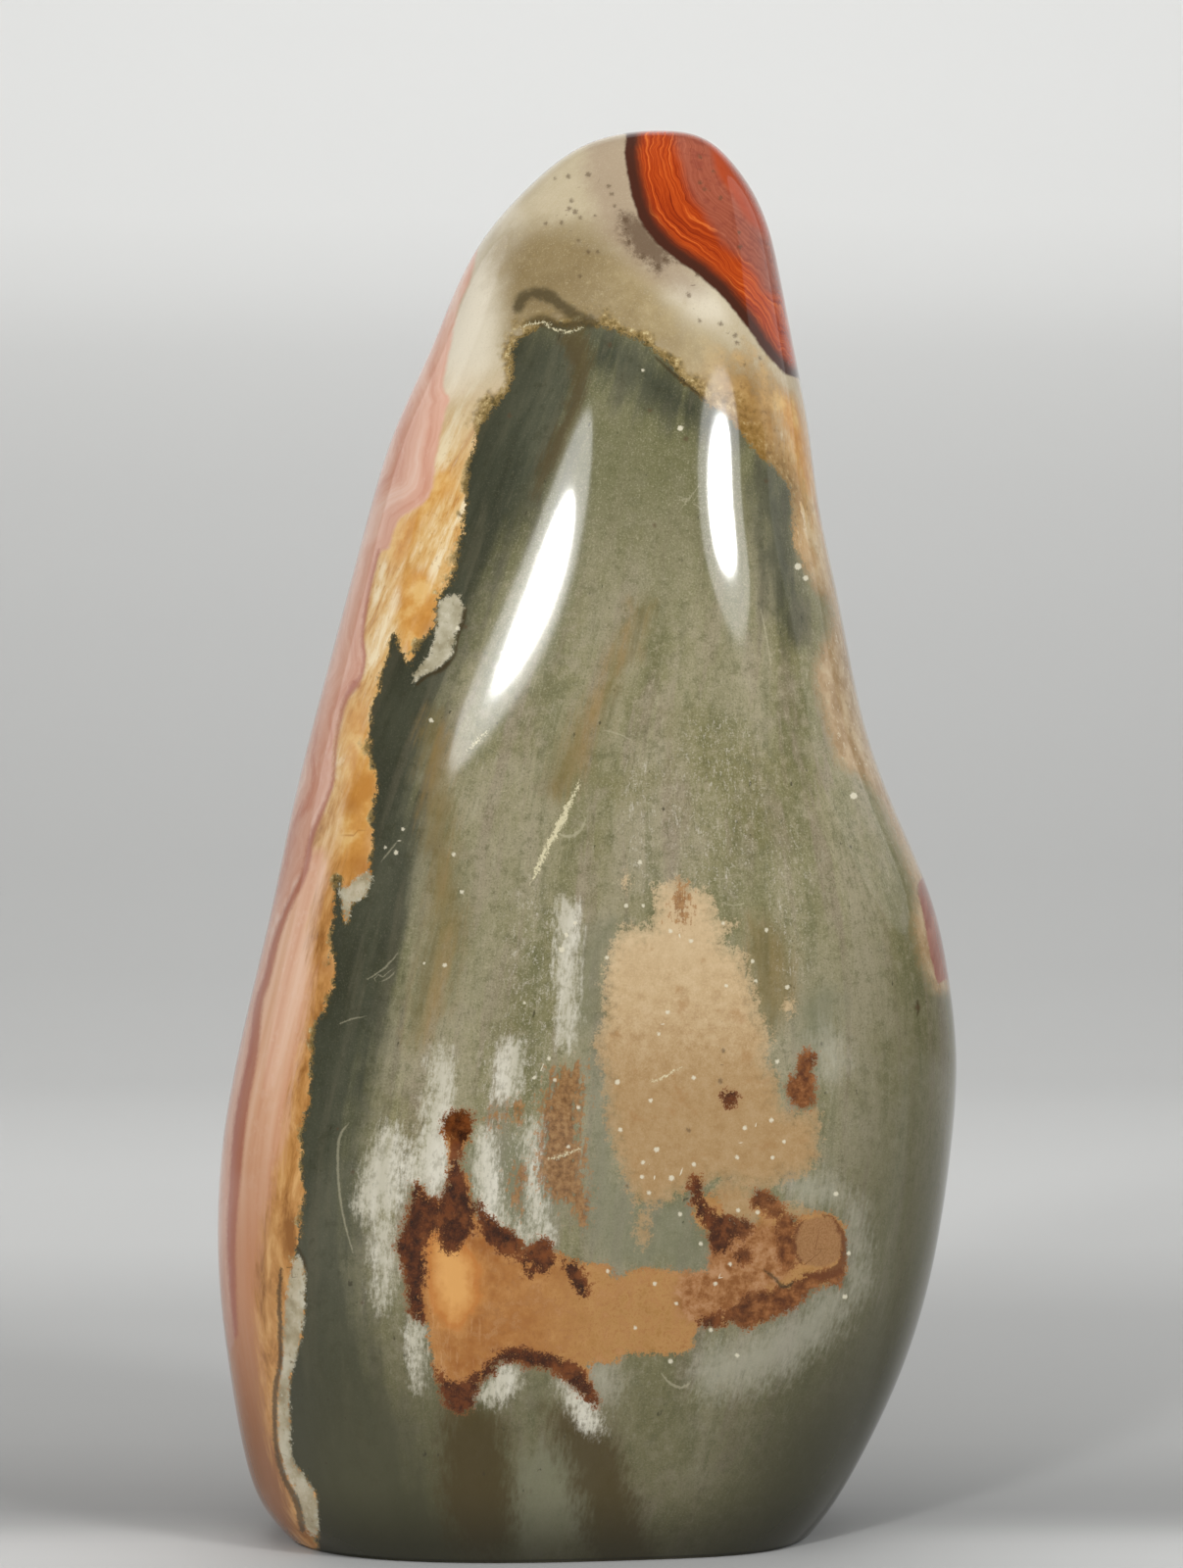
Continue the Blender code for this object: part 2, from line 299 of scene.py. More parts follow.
patches = {  # smaller fields on the front alone
    "golden": [
        [(407, 595), (421, 579), (435, 584), (442, 602), (445, 620), (447, 634), (435, 648), (419, 674),
         (411, 655), (406, 630), (405, 611)],
        [(449, 478), (460, 487), (458, 503), (442, 515), (428, 538), (421, 556), (405, 574), (391, 561),
         (403, 533), (423, 524), (439, 501)],
        [(355, 728), (365, 716), (375, 733), (378, 757), (379, 776), (387, 796), (385, 812), (381, 834),
         (379, 866), (375, 880), (363, 897), (350, 893), (348, 854), (349, 830), (351, 796), (350, 760)],
        [(796, 402), (812, 412), (824, 440), (832, 490), (826, 508), (816, 490), (806, 456), (798, 428)],
    ],
    "slate": [
        [(490, 330), (530, 342), (584, 346), (592, 390), (566, 460), (540, 515), (512, 560), (486, 630),
         (448, 720), (434, 800), (428, 900), (404, 1000), (384, 1100), (372, 1200), (366, 1300),
         (384, 1400), (420, 1480), (440, 1600), (250, 1600), (270, 1100), (300, 850), (360, 640),
         (440, 480)],
        [(778, 480), (800, 500), (806, 560), (812, 640), (800, 640), (782, 590), (772, 520)],
        [(600, 330), (645, 342), (690, 384), (730, 420), (748, 440), (716, 440), (662, 410), (612, 384)],
    ],
    "white": [
        [(524, 212), (534, 250), (512, 296), (506, 340), (494, 376), (474, 402), (452, 400), (458, 350),
         (474, 300), (496, 245)],
        [(676, 300), (698, 288), (724, 300), (740, 322), (716, 330), (694, 318)],
    ],
    "umber": [
        [(510, 262), (530, 240), (568, 238), (610, 244), (646, 272), (676, 306), (712, 340), (752, 366),
         (790, 398), (812, 440), (806, 500), (780, 480), (740, 430), (690, 385), (650, 352), (600, 336),
         (560, 336), (528, 345), (520, 310)],
    ],
    "mauve": [
        [(604, 148), (640, 138), (652, 200), (672, 240), (700, 270), (712, 296), (680, 290), (652, 268),
         (622, 240), (606, 200)],
    ],
    "disc": [
        [(818, 1247), (834, 1241), (850, 1244), (859, 1256), (859, 1276), (851, 1289), (834, 1293),
         (818, 1288), (811, 1276), (811, 1258)],
    ],
    "fold": [
        [(523, 316), (528, 302), (544, 294), (562, 296), (576, 307), (592, 318), (612, 328), (600, 335),
         (582, 326), (566, 314), (552, 306), (540, 306), (531, 318)],
        [(534, 331), (548, 322), (561, 323), (573, 329), (590, 326), (592, 334), (568, 338), (550, 331)],
    ],
    "tan": [
        [(670, 904), (693, 897), (707, 904), (725, 910), (731, 929), (734, 938), (755, 943), (739, 956),
         (744, 966), (760, 970), (762, 988), (771, 1007), (776, 1034), (790, 1057), (785, 1080),
         (796, 1103), (803, 1131), (833, 1133), (838, 1158), (833, 1186), (824, 1200), (803, 1204),
         (784, 1216), (754, 1213), (739, 1205), (695, 1221), (673, 1231), (652, 1230), (640, 1216),
         (629, 1188), (624, 1170), (617, 1135), (615, 1101), (606, 1073), (604, 1060), (613, 1044),
         (614, 998), (620, 970), (631, 952), (638, 945), (661, 945), (666, 929), (668, 913)],
        [(634, 892), (642, 888), (645, 900), (640, 912), (634, 905)],
        [(797, 1024), (808, 1020), (813, 1032), (805, 1040)],
        [(650, 1236), (662, 1240), (665, 1262), (655, 1275), (648, 1258)],
        [(716, 1230), (740, 1200), (765, 1208), (800, 1225), (830, 1236), (800, 1250), (745, 1250)],
    ],
    "orange": [
        [(422, 1209), (433, 1207), (437, 1219), (448, 1223), (456, 1214), (456, 1176), (453, 1150),
         (458, 1140), (468, 1137), (478, 1140), (483, 1153), (478, 1168), (470, 1176), (471, 1193),
         (480, 1204), (481, 1219), (485, 1234), (493, 1246), (503, 1247), (516, 1251), (523, 1264),
         (531, 1262), (536, 1277), (546, 1274), (554, 1264), (564, 1274), (576, 1282), (586, 1284),
         (596, 1289), (621, 1289), (626, 1303), (640, 1299), (657, 1294), (695, 1296), (720, 1296),
         (723, 1276), (720, 1258), (710, 1249), (705, 1230), (702, 1208), (706, 1200), (716, 1200),
         (718, 1216), (733, 1223), (743, 1243), (766, 1248), (773, 1243), (764, 1223), (773, 1213),
         (784, 1216), (799, 1231), (806, 1243), (816, 1243), (826, 1238), (846, 1238), (859, 1246),
         (864, 1256), (862, 1276), (864, 1296), (859, 1306), (842, 1313), (831, 1313), (821, 1321),
         (806, 1334), (789, 1342), (778, 1352), (761, 1357), (748, 1349), (736, 1354), (723, 1349),
         (711, 1357), (708, 1372), (695, 1382), (660, 1382), (637, 1382), (630, 1391), (612, 1391),
         (600, 1394), (607, 1419), (607, 1435), (594, 1426), (580, 1412), (562, 1398), (541, 1394),
         (528, 1391), (516, 1387), (505, 1389), (501, 1403), (487, 1412), (482, 1421), (476, 1435),
         (466, 1434), (451, 1417), (444, 1410), (442, 1394), (437, 1359), (432, 1348), (419, 1341),
         (416, 1323), (414, 1301), (407, 1284), (404, 1273), (412, 1259), (416, 1239), (420, 1223)],
    ],
    "glow": [
        [(446, 1262), (470, 1270), (484, 1292), (486, 1322), (476, 1338), (464, 1350), (450, 1338),
         (444, 1310), (440, 1284)],
    ],
    "brown": [
        [(722, 1258), (770, 1248), (806, 1256), (812, 1284), (796, 1308), (764, 1326), (744, 1344),
         (700, 1346), (690, 1316)],
    ],
    "rust": [
        [(453, 1139), (467, 1134), (481, 1136), (482, 1158), (471, 1172), (471, 1195), (481, 1226),
         (482, 1254), (467, 1276), (453, 1278), (447, 1256), (449, 1226), (458, 1205), (460, 1172),
         (453, 1153)],
        [(421, 1209), (432, 1210), (435, 1221), (449, 1226), (449, 1250), (439, 1261), (433, 1275),
         (436, 1296), (432, 1312), (431, 1323), (434, 1350), (418, 1339), (415, 1310), (405, 1276),
         (405, 1265), (413, 1247), (418, 1226)],
        [(484, 1222), (499, 1240), (519, 1254), (530, 1265), (527, 1282), (506, 1276), (491, 1258)],
        [(538, 1280), (546, 1266), (557, 1264), (565, 1276), (562, 1296), (550, 1298)],
        [(575, 1288), (590, 1290), (600, 1312), (596, 1324), (584, 1310)],
        [(527, 1272), (534, 1270), (544, 1296), (540, 1304), (531, 1290)],
        [(444, 1394), (450, 1408), (463, 1414), (478, 1408), (490, 1398), (503, 1385), (514, 1377),
         (527, 1374), (541, 1376), (558, 1381), (576, 1387), (590, 1394), (607, 1419), (609, 1436),
         (600, 1430), (583, 1416), (569, 1402), (554, 1396), (540, 1395), (519, 1388), (505, 1394),
         (502, 1403), (484, 1412), (480, 1424), (474, 1436), (463, 1434), (447, 1412)],
        [(703, 1200), (714, 1202), (718, 1224), (732, 1238), (748, 1242), (764, 1246), (770, 1256),
         (758, 1266), (748, 1262), (742, 1274), (730, 1282), (724, 1268), (720, 1252), (710, 1236),
         (703, 1220)],
        [(752, 1276), (762, 1272), (768, 1282), (758, 1290), (750, 1286)],
        [(765, 1219), (775, 1213), (793, 1223), (800, 1237), (790, 1242), (780, 1237), (768, 1231)],
        [(793, 1246), (803, 1240), (814, 1246), (811, 1262), (813, 1285), (805, 1297), (796, 1290),
         (792, 1270)],
        [(712, 1346), (747, 1335), (762, 1320), (787, 1316), (814, 1306), (832, 1300), (857, 1293),
         (863, 1300), (856, 1311), (835, 1311), (814, 1332), (787, 1346), (761, 1357), (747, 1348),
         (733, 1353), (719, 1353)],
        [(820, 1072), (832, 1076), (829, 1092), (832, 1106), (830, 1124), (818, 1132), (803, 1118),
         (802, 1104), (812, 1094)],
        [(738, 1114), (746, 1111), (753, 1116), (752, 1127), (744, 1131), (736, 1124)],
        [(446, 1400), (462, 1412), (480, 1408), (488, 1416), (478, 1438), (464, 1440), (450, 1424)],
    ],
    "column": [
        [(564, 1092), (594, 1086), (598, 1120), (594, 1150), (598, 1180), (600, 1240), (590, 1254),
         (578, 1228), (558, 1222), (546, 1194), (548, 1150), (552, 1120), (562, 1108)],
        [(498, 1135), (506, 1133), (506, 1150), (498, 1150)],
        [(518, 1123), (534, 1123), (534, 1145), (519, 1145)],
        [(521, 1190), (537, 1192), (537, 1230), (526, 1235)],
        [(690, 905), (702, 905), (704, 940), (692, 946), (682, 930)],
    ],
    "haze": [
        [(452, 1072), (460, 1100), (458, 1150), (450, 1205), (440, 1214), (420, 1206), (420, 1185),
         (434, 1160), (441, 1120), (444, 1085)],
        [(365, 1222), (380, 1170), (395, 1150), (404, 1165), (402, 1225), (385, 1240), (370, 1238)],
        [(384, 1250), (396, 1250), (399, 1300), (394, 1334), (385, 1322)],
        [(419, 1354), (431, 1354), (432, 1408), (424, 1405)],
        [(508, 1110), (514, 1070), (530, 1066), (530, 1110), (516, 1120)],
        [(572, 930), (581, 926), (585, 950), (583, 1060), (573, 1062), (570, 1000)],
        [(484, 1424), (503, 1404), (520, 1396), (524, 1415), (500, 1432)],
        [(572, 1410), (590, 1424), (607, 1442), (612, 1458), (596, 1450), (580, 1430)],
        [(484, 1160), (498, 1160), (508, 1230), (540, 1262), (524, 1256), (492, 1236)],
        [(536, 1150), (548, 1150), (550, 1230), (560, 1262), (545, 1258), (538, 1200)],
    ],
    "mist": [
        [(864, 1240), (872, 1230), (878, 1260), (878, 1310), (868, 1325), (868, 1290)],
        [(806, 1206), (835, 1202), (856, 1214), (850, 1226), (815, 1222)],
        [(716, 1384), (770, 1366), (806, 1346), (842, 1322), (862, 1318), (852, 1350), (818, 1382),
         (770, 1412), (724, 1420)],
        [(600, 1398), (622, 1398), (626, 1418), (610, 1420)],
        [(836, 1060), (856, 1058), (858, 1084), (842, 1098)],
    ],
    "cool": [
        [(640, 1225), (690, 1225), (712, 1240), (716, 1290), (660, 1292), (620, 1285), (600, 1250),
         (605, 1180), (602, 1100), (596, 1060), (606, 1080), (618, 1150)],
        [(628, 940), (600, 960), (590, 1000), (588, 1060), (604, 1050), (612, 990)],
        [(470, 1180), (560, 1160), (560, 1260), (500, 1245)],
        [(530, 1490), (600, 1480), (600, 1560), (530, 1575)],
        [(815, 1020), (850, 1010), (850, 1060), (818, 1062)],
    ],
    "fleck": [
        [(702, 750), (740, 730), (772, 780), (766, 880), (735, 910), (700, 896), (684, 840)],
        [(788, 850), (812, 850), (820, 940), (806, 1010), (790, 940)],
        [(640, 780), (672, 790), (664, 896), (640, 890)],
        [(520, 930), (560, 920), (566, 1060), (530, 1080)],
        [(500, 1060), (530, 1040), (550, 1100), (540, 1240), (505, 1240), (490, 1150)],
        [(690, 1040), (720, 1050), (700, 1090), (670, 1080)],
    ],
    "ochre": [
        [(650, 622), (664, 622), (644, 670), (626, 705), (612, 745), (590, 790), (570, 815), (562, 800),
         (575, 765), (600, 720), (618, 690), (634, 655)],
        [(440, 735), (452, 745), (460, 800), (462, 880), (468, 950), (455, 1010), (430, 1060),
         (418, 1050), (436, 960), (438, 860), (434, 790)],
        [(458, 1440), (500, 1436), (518, 1480), (518, 1580), (470, 1580), (452, 1520)],
        [(560, 1440), (612, 1450), (634, 1490), (656, 1560), (662, 1600), (610, 1600), (590, 1530)],
        [(765, 940), (792, 948), (806, 975), (808, 1010), (798, 1040), (782, 1050), (768, 1010)],
    ],
    "islet": [
        [(450, 612), (468, 607), (474, 625), (465, 650), (462, 665), (450, 680), (430, 690), (423, 697),
         (421, 688), (432, 675), (443, 655), (445, 630)],
        [(345, 900), (352, 906), (362, 897), (373, 890), (379, 893), (373, 914), (359, 924), (354, 945),
         (349, 925)],
        [(303, 1282), (311, 1294), (310, 1344), (303, 1381), (296, 1410), (296, 1456), (298, 1487),
         (309, 1504), (322, 1527), (324, 1565), (312, 1560), (304, 1531), (292, 1506), (284, 1469),
         (284, 1419), (288, 1386), (290, 1340), (296, 1300)],
    ],
    "streak": [
        [(592, 334), (599, 342), (602, 372), (597, 400), (582, 442), (560, 484), (545, 508), (546, 492),
         (557, 462), (573, 430), (584, 398), (580, 360), (572, 345)],
    ],
    "smoke": [
        [(633, 218), (650, 222), (664, 234), (688, 260), (680, 268), (673, 277), (660, 268), (652, 262),
         (637, 242)],
    ],
}
print("outlines ready")

strokes = {  # open lines: the points, then half the width in pixels at each
    "dark": [
        ([(476, 618), (472, 634), (467, 650), (464, 668), (452, 682), (436, 690), (424, 700)],
         [1.2, 2.6, 1.4, 1.4, 2.8, 1.6, 1.6]),
        ([(287, 1294), (285, 1323), (286, 1386), (281, 1419), (281, 1469), (289, 1506), (302, 1531),
          (309, 1562)], [1.5, 2.2, 2.4, 2.6, 2.4, 2.8, 3.4, 3.4]),
        ([(668, 364), (690, 384), (706, 396), (721, 410)], [1.0, 1.8, 1.6, 1.0]),
        ([(301, 1270), (309, 1283), (313, 1298)], [0.8, 1.8, 0.9]),
        ([(936, 1020), (937, 1028), (936, 1036)], [1.0, 1.8, 1.0]),
        ([(780, 1296), (792, 1306), (800, 1314), (812, 1306)], [1.0, 1.8, 2.2, 1.0]),
    ],
    "rustLine": [
        ([(838, 1240), (848, 1242), (857, 1254), (861, 1266), (860, 1280), (858, 1292), (848, 1300),
          (834, 1302), (818, 1300)], [0.6, 1.2, 2.4, 3.0, 3.0, 5.0, 5.0, 4.0, 2.0]),
        ([(822, 1243), (814, 1252), (811, 1264), (812, 1278), (818, 1290)], [0.6, 1.6, 2.0, 1.6, 1.4]),
    ],
    "pale": [
        ([(592, 795), (580, 822), (568, 848), (556, 870), (550, 885), (540, 901)],
         [0.8, 2.6, 3.4, 2.6, 2.2, 0.8]),
        ([(530, 336), (542, 330), (555, 329), (568, 337), (583, 338), (594, 333)],
         [0.8, 1.1, 1.0, 1.1, 1.0, 0.6]),
        # painted highlight: the bright tail of the left lamp's highlight along a facet's edge
        ([(500, 745), (484, 758), (474, 768)], [0.8, 1.4, 0.6]),
        ([(663, 1104), (680, 1098), (698, 1088)], [0.8, 1.0, 0.6]),
        ([(556, 1184), (575, 1178), (594, 1172)], [0.8, 1.2, 0.8]),
    ],
    "glint": [
        ([(569, 850), (580, 854), (592, 848), (598, 834)], [0.8, 1.6, 1.6, 0.8]),
        ([(356, 1146), (346, 1162), (345, 1200), (350, 1240), (360, 1278)], [0.7, 1.4, 1.2, 1.0, 0.6]),
        ([(674, 1400), (684, 1412), (698, 1416), (706, 1408)], [0.6, 1.4, 1.4, 0.6]),
        ([(776, 620), (782, 650), (787, 680)], [0.5, 1.0, 0.5]),
        ([(388, 880), (398, 868), (406, 858)], [0.4, 0.9, 0.4]),
        ([(372, 1001), (392, 988), (408, 970)], [0.4, 0.9, 0.4]),
        ([(386, 1003), (398, 997), (404, 990)], [0.4, 0.7, 0.4]),
        ([(344, 1046), (358, 1040), (374, 1037)], [0.4, 0.8, 0.4]),
        ([(736, 920), (748, 924), (762, 921)], [0.5, 1.0, 0.5]),
        ([(690, 505), (705, 512), (716, 520)], [0.4, 0.7, 0.4]),
        ([(694, 520), (704, 508), (714, 494)], [0.4, 0.7, 0.4]),
        ([(616, 745), (634, 750), (648, 758)], [0.4, 0.8, 0.4]),
    ],
    "red": [
        ([(387, 561), (381, 584), (376, 607), (372, 630), (370, 652), (372, 671), (369, 689), (364, 699)],
         [1.0, 1.2, 1.2, 1.2, 1.4, 1.4, 1.4, 2.0]),
        ([(364, 697), (352, 716), (343, 757), (340, 796), (330, 825), (318, 854), (311, 890), (294, 926),
          (282, 958), (272, 999), (264, 1023), (258, 1074), (246, 1137), (240, 1199), (236, 1261),
          (238, 1323), (241, 1365)],
         [4.5, 2.4, 1.6, 1.6, 2.0, 2.6, 3.0, 3.0, 3.2, 3.6, 4.0, 5.0, 6.0, 5.5, 4.5, 3.0, 1.5]),
    ],
}
drawnShare = 0.68  # of a dot's radius
dots = {  # small round marks: x, y and radius in pixels
    "pit": [
        (566, 182, 2), (580, 180, 3), (600, 178, 4), (583, 205, 3), (581, 213, 3), (587, 216, 4),
        (592, 222, 2.5), (573, 227, 3), (557, 228, 2.5), (607, 220, 2), (621, 190, 3), (624, 198, 3),
        (627, 210, 2.5), (590, 245, 2), (600, 257, 3), (610, 257, 2.5), (592, 282, 2.5), (714, 160, 2.5),
        (714, 186, 3), (719, 193, 2.5), (735, 202, 3), (728, 175, 2), (754, 237, 2.5), (755, 252, 3),
        (711, 280, 3), (703, 301, 3), (714, 327, 2.5), (735, 330, 3), (750, 342, 3.5), (752, 350, 3),
        (760, 372, 2), (775, 365, 2), (638, 225, 4), (641, 247, 4), (656, 262, 4), (671, 273, 5),
        (680, 266, 4), (738, 1072, 3), (936, 1028, 4), (702, 1153, 3), (520, 424, 3), (622, 352, 3),
        (663, 419, 3), (700, 448, 4), (668, 536, 2.5), (782, 491, 3), (735, 1103, 3), (475, 640, 3),
        (345, 1152, 2), (360, 1196, 2.5), (370, 1330, 2.5), (640, 1210, 2),
    ],
    "speck": [
        (653, 880, 3), (639, 924, 3), (656, 924, 2.5), (684, 950, 3), (705, 960, 3), (738, 942, 2.5),
        (782, 949, 3), (619, 977, 2.5), (587, 942, 2.5), (578, 954, 3), (573, 969, 4), (768, 981, 2.5),
        (771, 1001, 2.5), (741, 1006, 2.5), (803, 1007, 3), (681, 1033, 3), (672, 1055, 2.5),
        (793, 1083, 3), (708, 1100, 3), (630, 1104, 4), (664, 1123, 3), (787, 1143, 3), (760, 1151, 3),
        (633, 1153, 3), (670, 1173, 4), (752, 1181, 3), (788, 1181, 3), (656, 1186, 3), (708, 1188, 3),
        (655, 1201, 3), (685, 1202, 4), (662, 1217, 3), (753, 1235, 3), (773, 1237, 3), (715, 1269, 3),
        (694, 1239, 3), (730, 1310, 3), (725, 1357, 3), (752, 1383, 3), (684, 1389, 3.5),
        (853, 1218, 3.5), (866, 1279, 3), (862, 1323, 3.5), (814, 578, 5), (871, 812, 5), (822, 590, 4),
        (694, 437, 4), (656, 378, 2), (467, 641, 3), (404, 870, 3), (393, 865, 2), (440, 735, 3),
        (411, 846, 2.5), (463, 872, 3), (471, 910, 3), (454, 985, 3), (433, 983, 2), (535, 1023, 2),
        (545, 1100, 2.5), (620, 1297, 2.5), (668, 1310, 3), (690, 1330, 2.5), (648, 1355, 2.5),
        (590, 1130, 2.5), (580, 1170, 2.5), (560, 1080, 3), (566, 1102, 2.5), (800, 1165, 2.5),
        (745, 1290, 2.5),
    ],
    "toast": [
        (438, 642, 8), (368, 884, 13), (334, 986, 11), (323, 930, 8), (358, 822, 7),
    ],
}
backZones = {  # the same zones seen from behind, by the same camera
    "green": [
        (130, 1750), (130, 1150), (215, 1010), (300, 985), (380, 1000), (430, 1050), (455, 1130),
        (500, 1190), (560, 1210), (610, 1260), (640, 1340), (690, 1400), (760, 1430), (830, 1500),
        (850, 1600), (850, 1750),
    ],
    "pink": [
        (767, 232), (735, 226), (721, 237), (722, 262), (714, 300), (698, 345), (705, 400), (690, 470),
        (650, 520), (600, 560), (560, 630), (540, 720), (500, 800), (520, 880), (580, 930), (640, 980),
        (700, 1060), (760, 1150), (800, 1260), (860, 1360), (980, 1400), (1107, 1400), (1107, 300),
        (907, 238),
    ],
    "peach": [
        (640, 880), (700, 960), (760, 1060), (820, 1150), (860, 1250), (900, 1330), (880, 1420),
        (900, 1500), (905, 1640), (1107, 1640), (1107, 1100), (1000, 1000), (960, 930), (920, 880),
        (800, 840),
    ],
    "eye": [
        (568, 100), (568, 138), (569, 158), (556, 214), (516, 276), (458, 326), (410, 384), (330, 380),
        (300, 250), (390, 90), (480, 50),
    ],
    "core": [
        (527, 90), (520, 150), (490, 210), (450, 250), (423, 300), (377, 290), (377, 200), (427, 100),
        (477, 70),
    ],
    "maroon": [
        (262, 998), (200, 1000), (200, 890), (262, 884), (296, 900), (316, 932), (306, 972), (286, 992),
    ],
}
measuring = {
    "farOff": 20.0,  # mm, for places that no outline reaches
    "outlineReach": 80.0,  # pixels round an outline that are measured
    "zoneReach": 2000.0,
    "lineReach": 40.0,
    "dotReach": 1.2,  # mm from a dot's rim
    "toastReach": 4.0,
    "noDot": -3.0,  # mm, the radius where no dot is near
    "dotsApart": 22.0,  # pixels, at least, within one set of dots
    "chunk": 6000,  # points measured at a time, to spare memory
}
farOff = measuring["farOff"]


# The Catmull-Rom curve through the points: each piece is the cubic that starts and ends on two points,
# with half the step between a point's two neighbours as its slope there.
def smoothLine(points, closed, steps=4):
    here = np.array(points, dtype=float)
    if closed:
        before, after, later = (np.roll(here, step, axis=0) for step in (1, -1, -2))
        ending = here[:0]
    else:
        longer = np.concatenate([here[:1], here, here[-1:]])
        before, after, later = longer[:-3], longer[2:-1], longer[3:]
        here, ending = here[:-1], here[-1:]
    t = (np.arange(steps) / steps)[None, :, None]
    a, b, c, d = (part[:, None, :] for part in (before, here, after, later))
    square, cube = 2 * a - 5 * b + 4 * c - d, 3 * b - a - 3 * c + d
    curve = b + t * (c - a) / 2 + t**2 * square / 2 + t**3 * cube / 2
    return np.concatenate([curve.reshape(-1, here.shape[1]), ending])


# How far inside an outline each place is, in mm, and below zero outside it: the shortest distance to the
# outline's pieces. A place is inside if a line from it crosses the outline an odd number of times.
def insideBy(loop, places, reach=measuring["outlineReach"]):
    line = smoothLine(loop, True)
    field = np.full(len(places), -farOff)
    low, high = line.min(axis=0) - reach, line.max(axis=0) + reach
    near = np.flatnonzero(((places > low) & (places < high)).all(axis=1))
    start, end = line, np.roll(line, -1, axis=0)
    step = end - start
    length = (step**2).sum(axis=1) + 1e-9
    for chunk in np.array_split(near, len(near) // measuring["chunk"] + 1):
        away = places[chunk, None, :] - start
        share = np.clip((away * step).sum(axis=2) / length, 0, 1)
        gap = np.sqrt(((away - share[..., None] * step) ** 2).sum(axis=2).min(axis=1))
        y = places[chunk, 1, None]
        crossed = (start[:, 1] > y) != (end[:, 1] > y)
        crossing = start[:, 0] + (y - start[:, 1]) * step[:, 0] / (step[:, 1] + (step[:, 1] == 0) * 1e-9)
        inside = (crossed & (places[chunk, 0, None] < crossing)).sum(axis=1) % 2 == 1
        field[chunk] = np.where(inside, gap, -gap) / pixelsPerMm
    return field


# Beside an open line: the distance to its nearest piece, with a sign for the side, and half the line's
# width there, both in mm. Past the line's ends the width falls by the distance past them.
def besideLine(stroke, places, reach=measuring["lineReach"]):
    points, widths = stroke
    line = smoothLine([(*point, width) for point, width in zip(points, widths)], False)
    beside = np.zeros((len(places), 3))
    beside[:, 0] = farOff
    beside[:, 1] = -farOff
    low, high = line[:, :2].min(axis=0) - reach, line[:, :2].max(axis=0) + reach
    near = np.flatnonzero(((places > low) & (places < high)).all(axis=1))
    start, step = line[:-1, :2], np.diff(line[:, :2], axis=0)
    length = (step**2).sum(axis=1) + 1e-9
    away = places[near, None, :] - start
    raw = (away * step).sum(axis=2) / length
    share = np.clip(raw, 0, 1)
    gap = np.sqrt(((away - share[..., None] * step) ** 2).sum(axis=2))
    best = gap.argmin(axis=1)
    row = np.arange(len(near))
    side = step[best, 0] * away[row, best, 1] - step[best, 1] * away[row, best, 0]
    width = line[best, 2] + share[row, best] * (line[best + 1, 2] - line[best, 2])
    past = np.abs(raw - share)[row, best] * np.sqrt(length[best])
    beside[near, 0] = np.sign(side) * gap[row, best] / pixelsPerMm
    beside[near, 1] = (width - past) / pixelsPerMm
    return beside


def spreadDots(marks):  # sets of dots, with no two of one set close together
    sets = []
    for mark in marks:
        for group in sets:
            if all(math.dist(mark[:2], other[:2]) > measuring["dotsApart"] for other in group):
                group.append(mark)
                break
        else:
            sets.append([mark])
    return sets


dotSets = {f"{name}{i}": group for name, marks in dots.items() for i, group in enumerate(spreadDots(marks))}


# The step from the nearest dot's middle and that dot's radius, in mm; far from all dots the radius is
# below zero.
def nearestDot(marks, places, reach):
    best = np.full(len(places), 1e9)
    answer = np.zeros((len(places), 3))
    for x, y, radius in marks:
        step = places - [x, y]
        gap = np.hypot(step[:, 0], step[:, 1]) - radius
        closer = gap < best
        best[closer] = gap[closer]
        answer[closer, :2] = step[closer] / pixelsPerMm
        answer[closer, 2] = drawnShare * radius / pixelsPerMm
    answer[best > reach * pixelsPerMm, 2] = measuring["noDot"]
    return answer


# 0 up to low, 1 from high, and between them 3 times the share squared less twice the share cubed.
def easeStep(low, high, value):
    share = np.clip((value - low) / (high - low), 0, 1)
    return share * share * (3 - 2 * share)


def setField(name, values):  # a number or a vector at each point of the stone, for its material
    kind = "FLOAT" if values.ndim == 1 else "FLOAT_VECTOR"
    attribute = stoneMesh.attributes.new(name, kind, "POINT")
    attribute.data.foreach_set("value" if kind == "FLOAT" else "vector", values.astype(np.float32).ravel())


sideBlend = {  # the sine of the turn, 0 at the sides and 1 at the back, from where to where they change
    "zones": (0.0, 0.45),
    "marks": (0.05, 0.25),
}
grain = {  # the direction in which the noises are drawn out
    "halfWidth": 36.0,  # mm, to which every section's half width is stretched
    "narrowest": 6.0,  # mm, the least half width that is stretched
    "slant": 0.25,  # how much the grain leans to the right above its bend
    "bend": 75.0,  # mm up the stone
    "bendLength": 6.0,
}


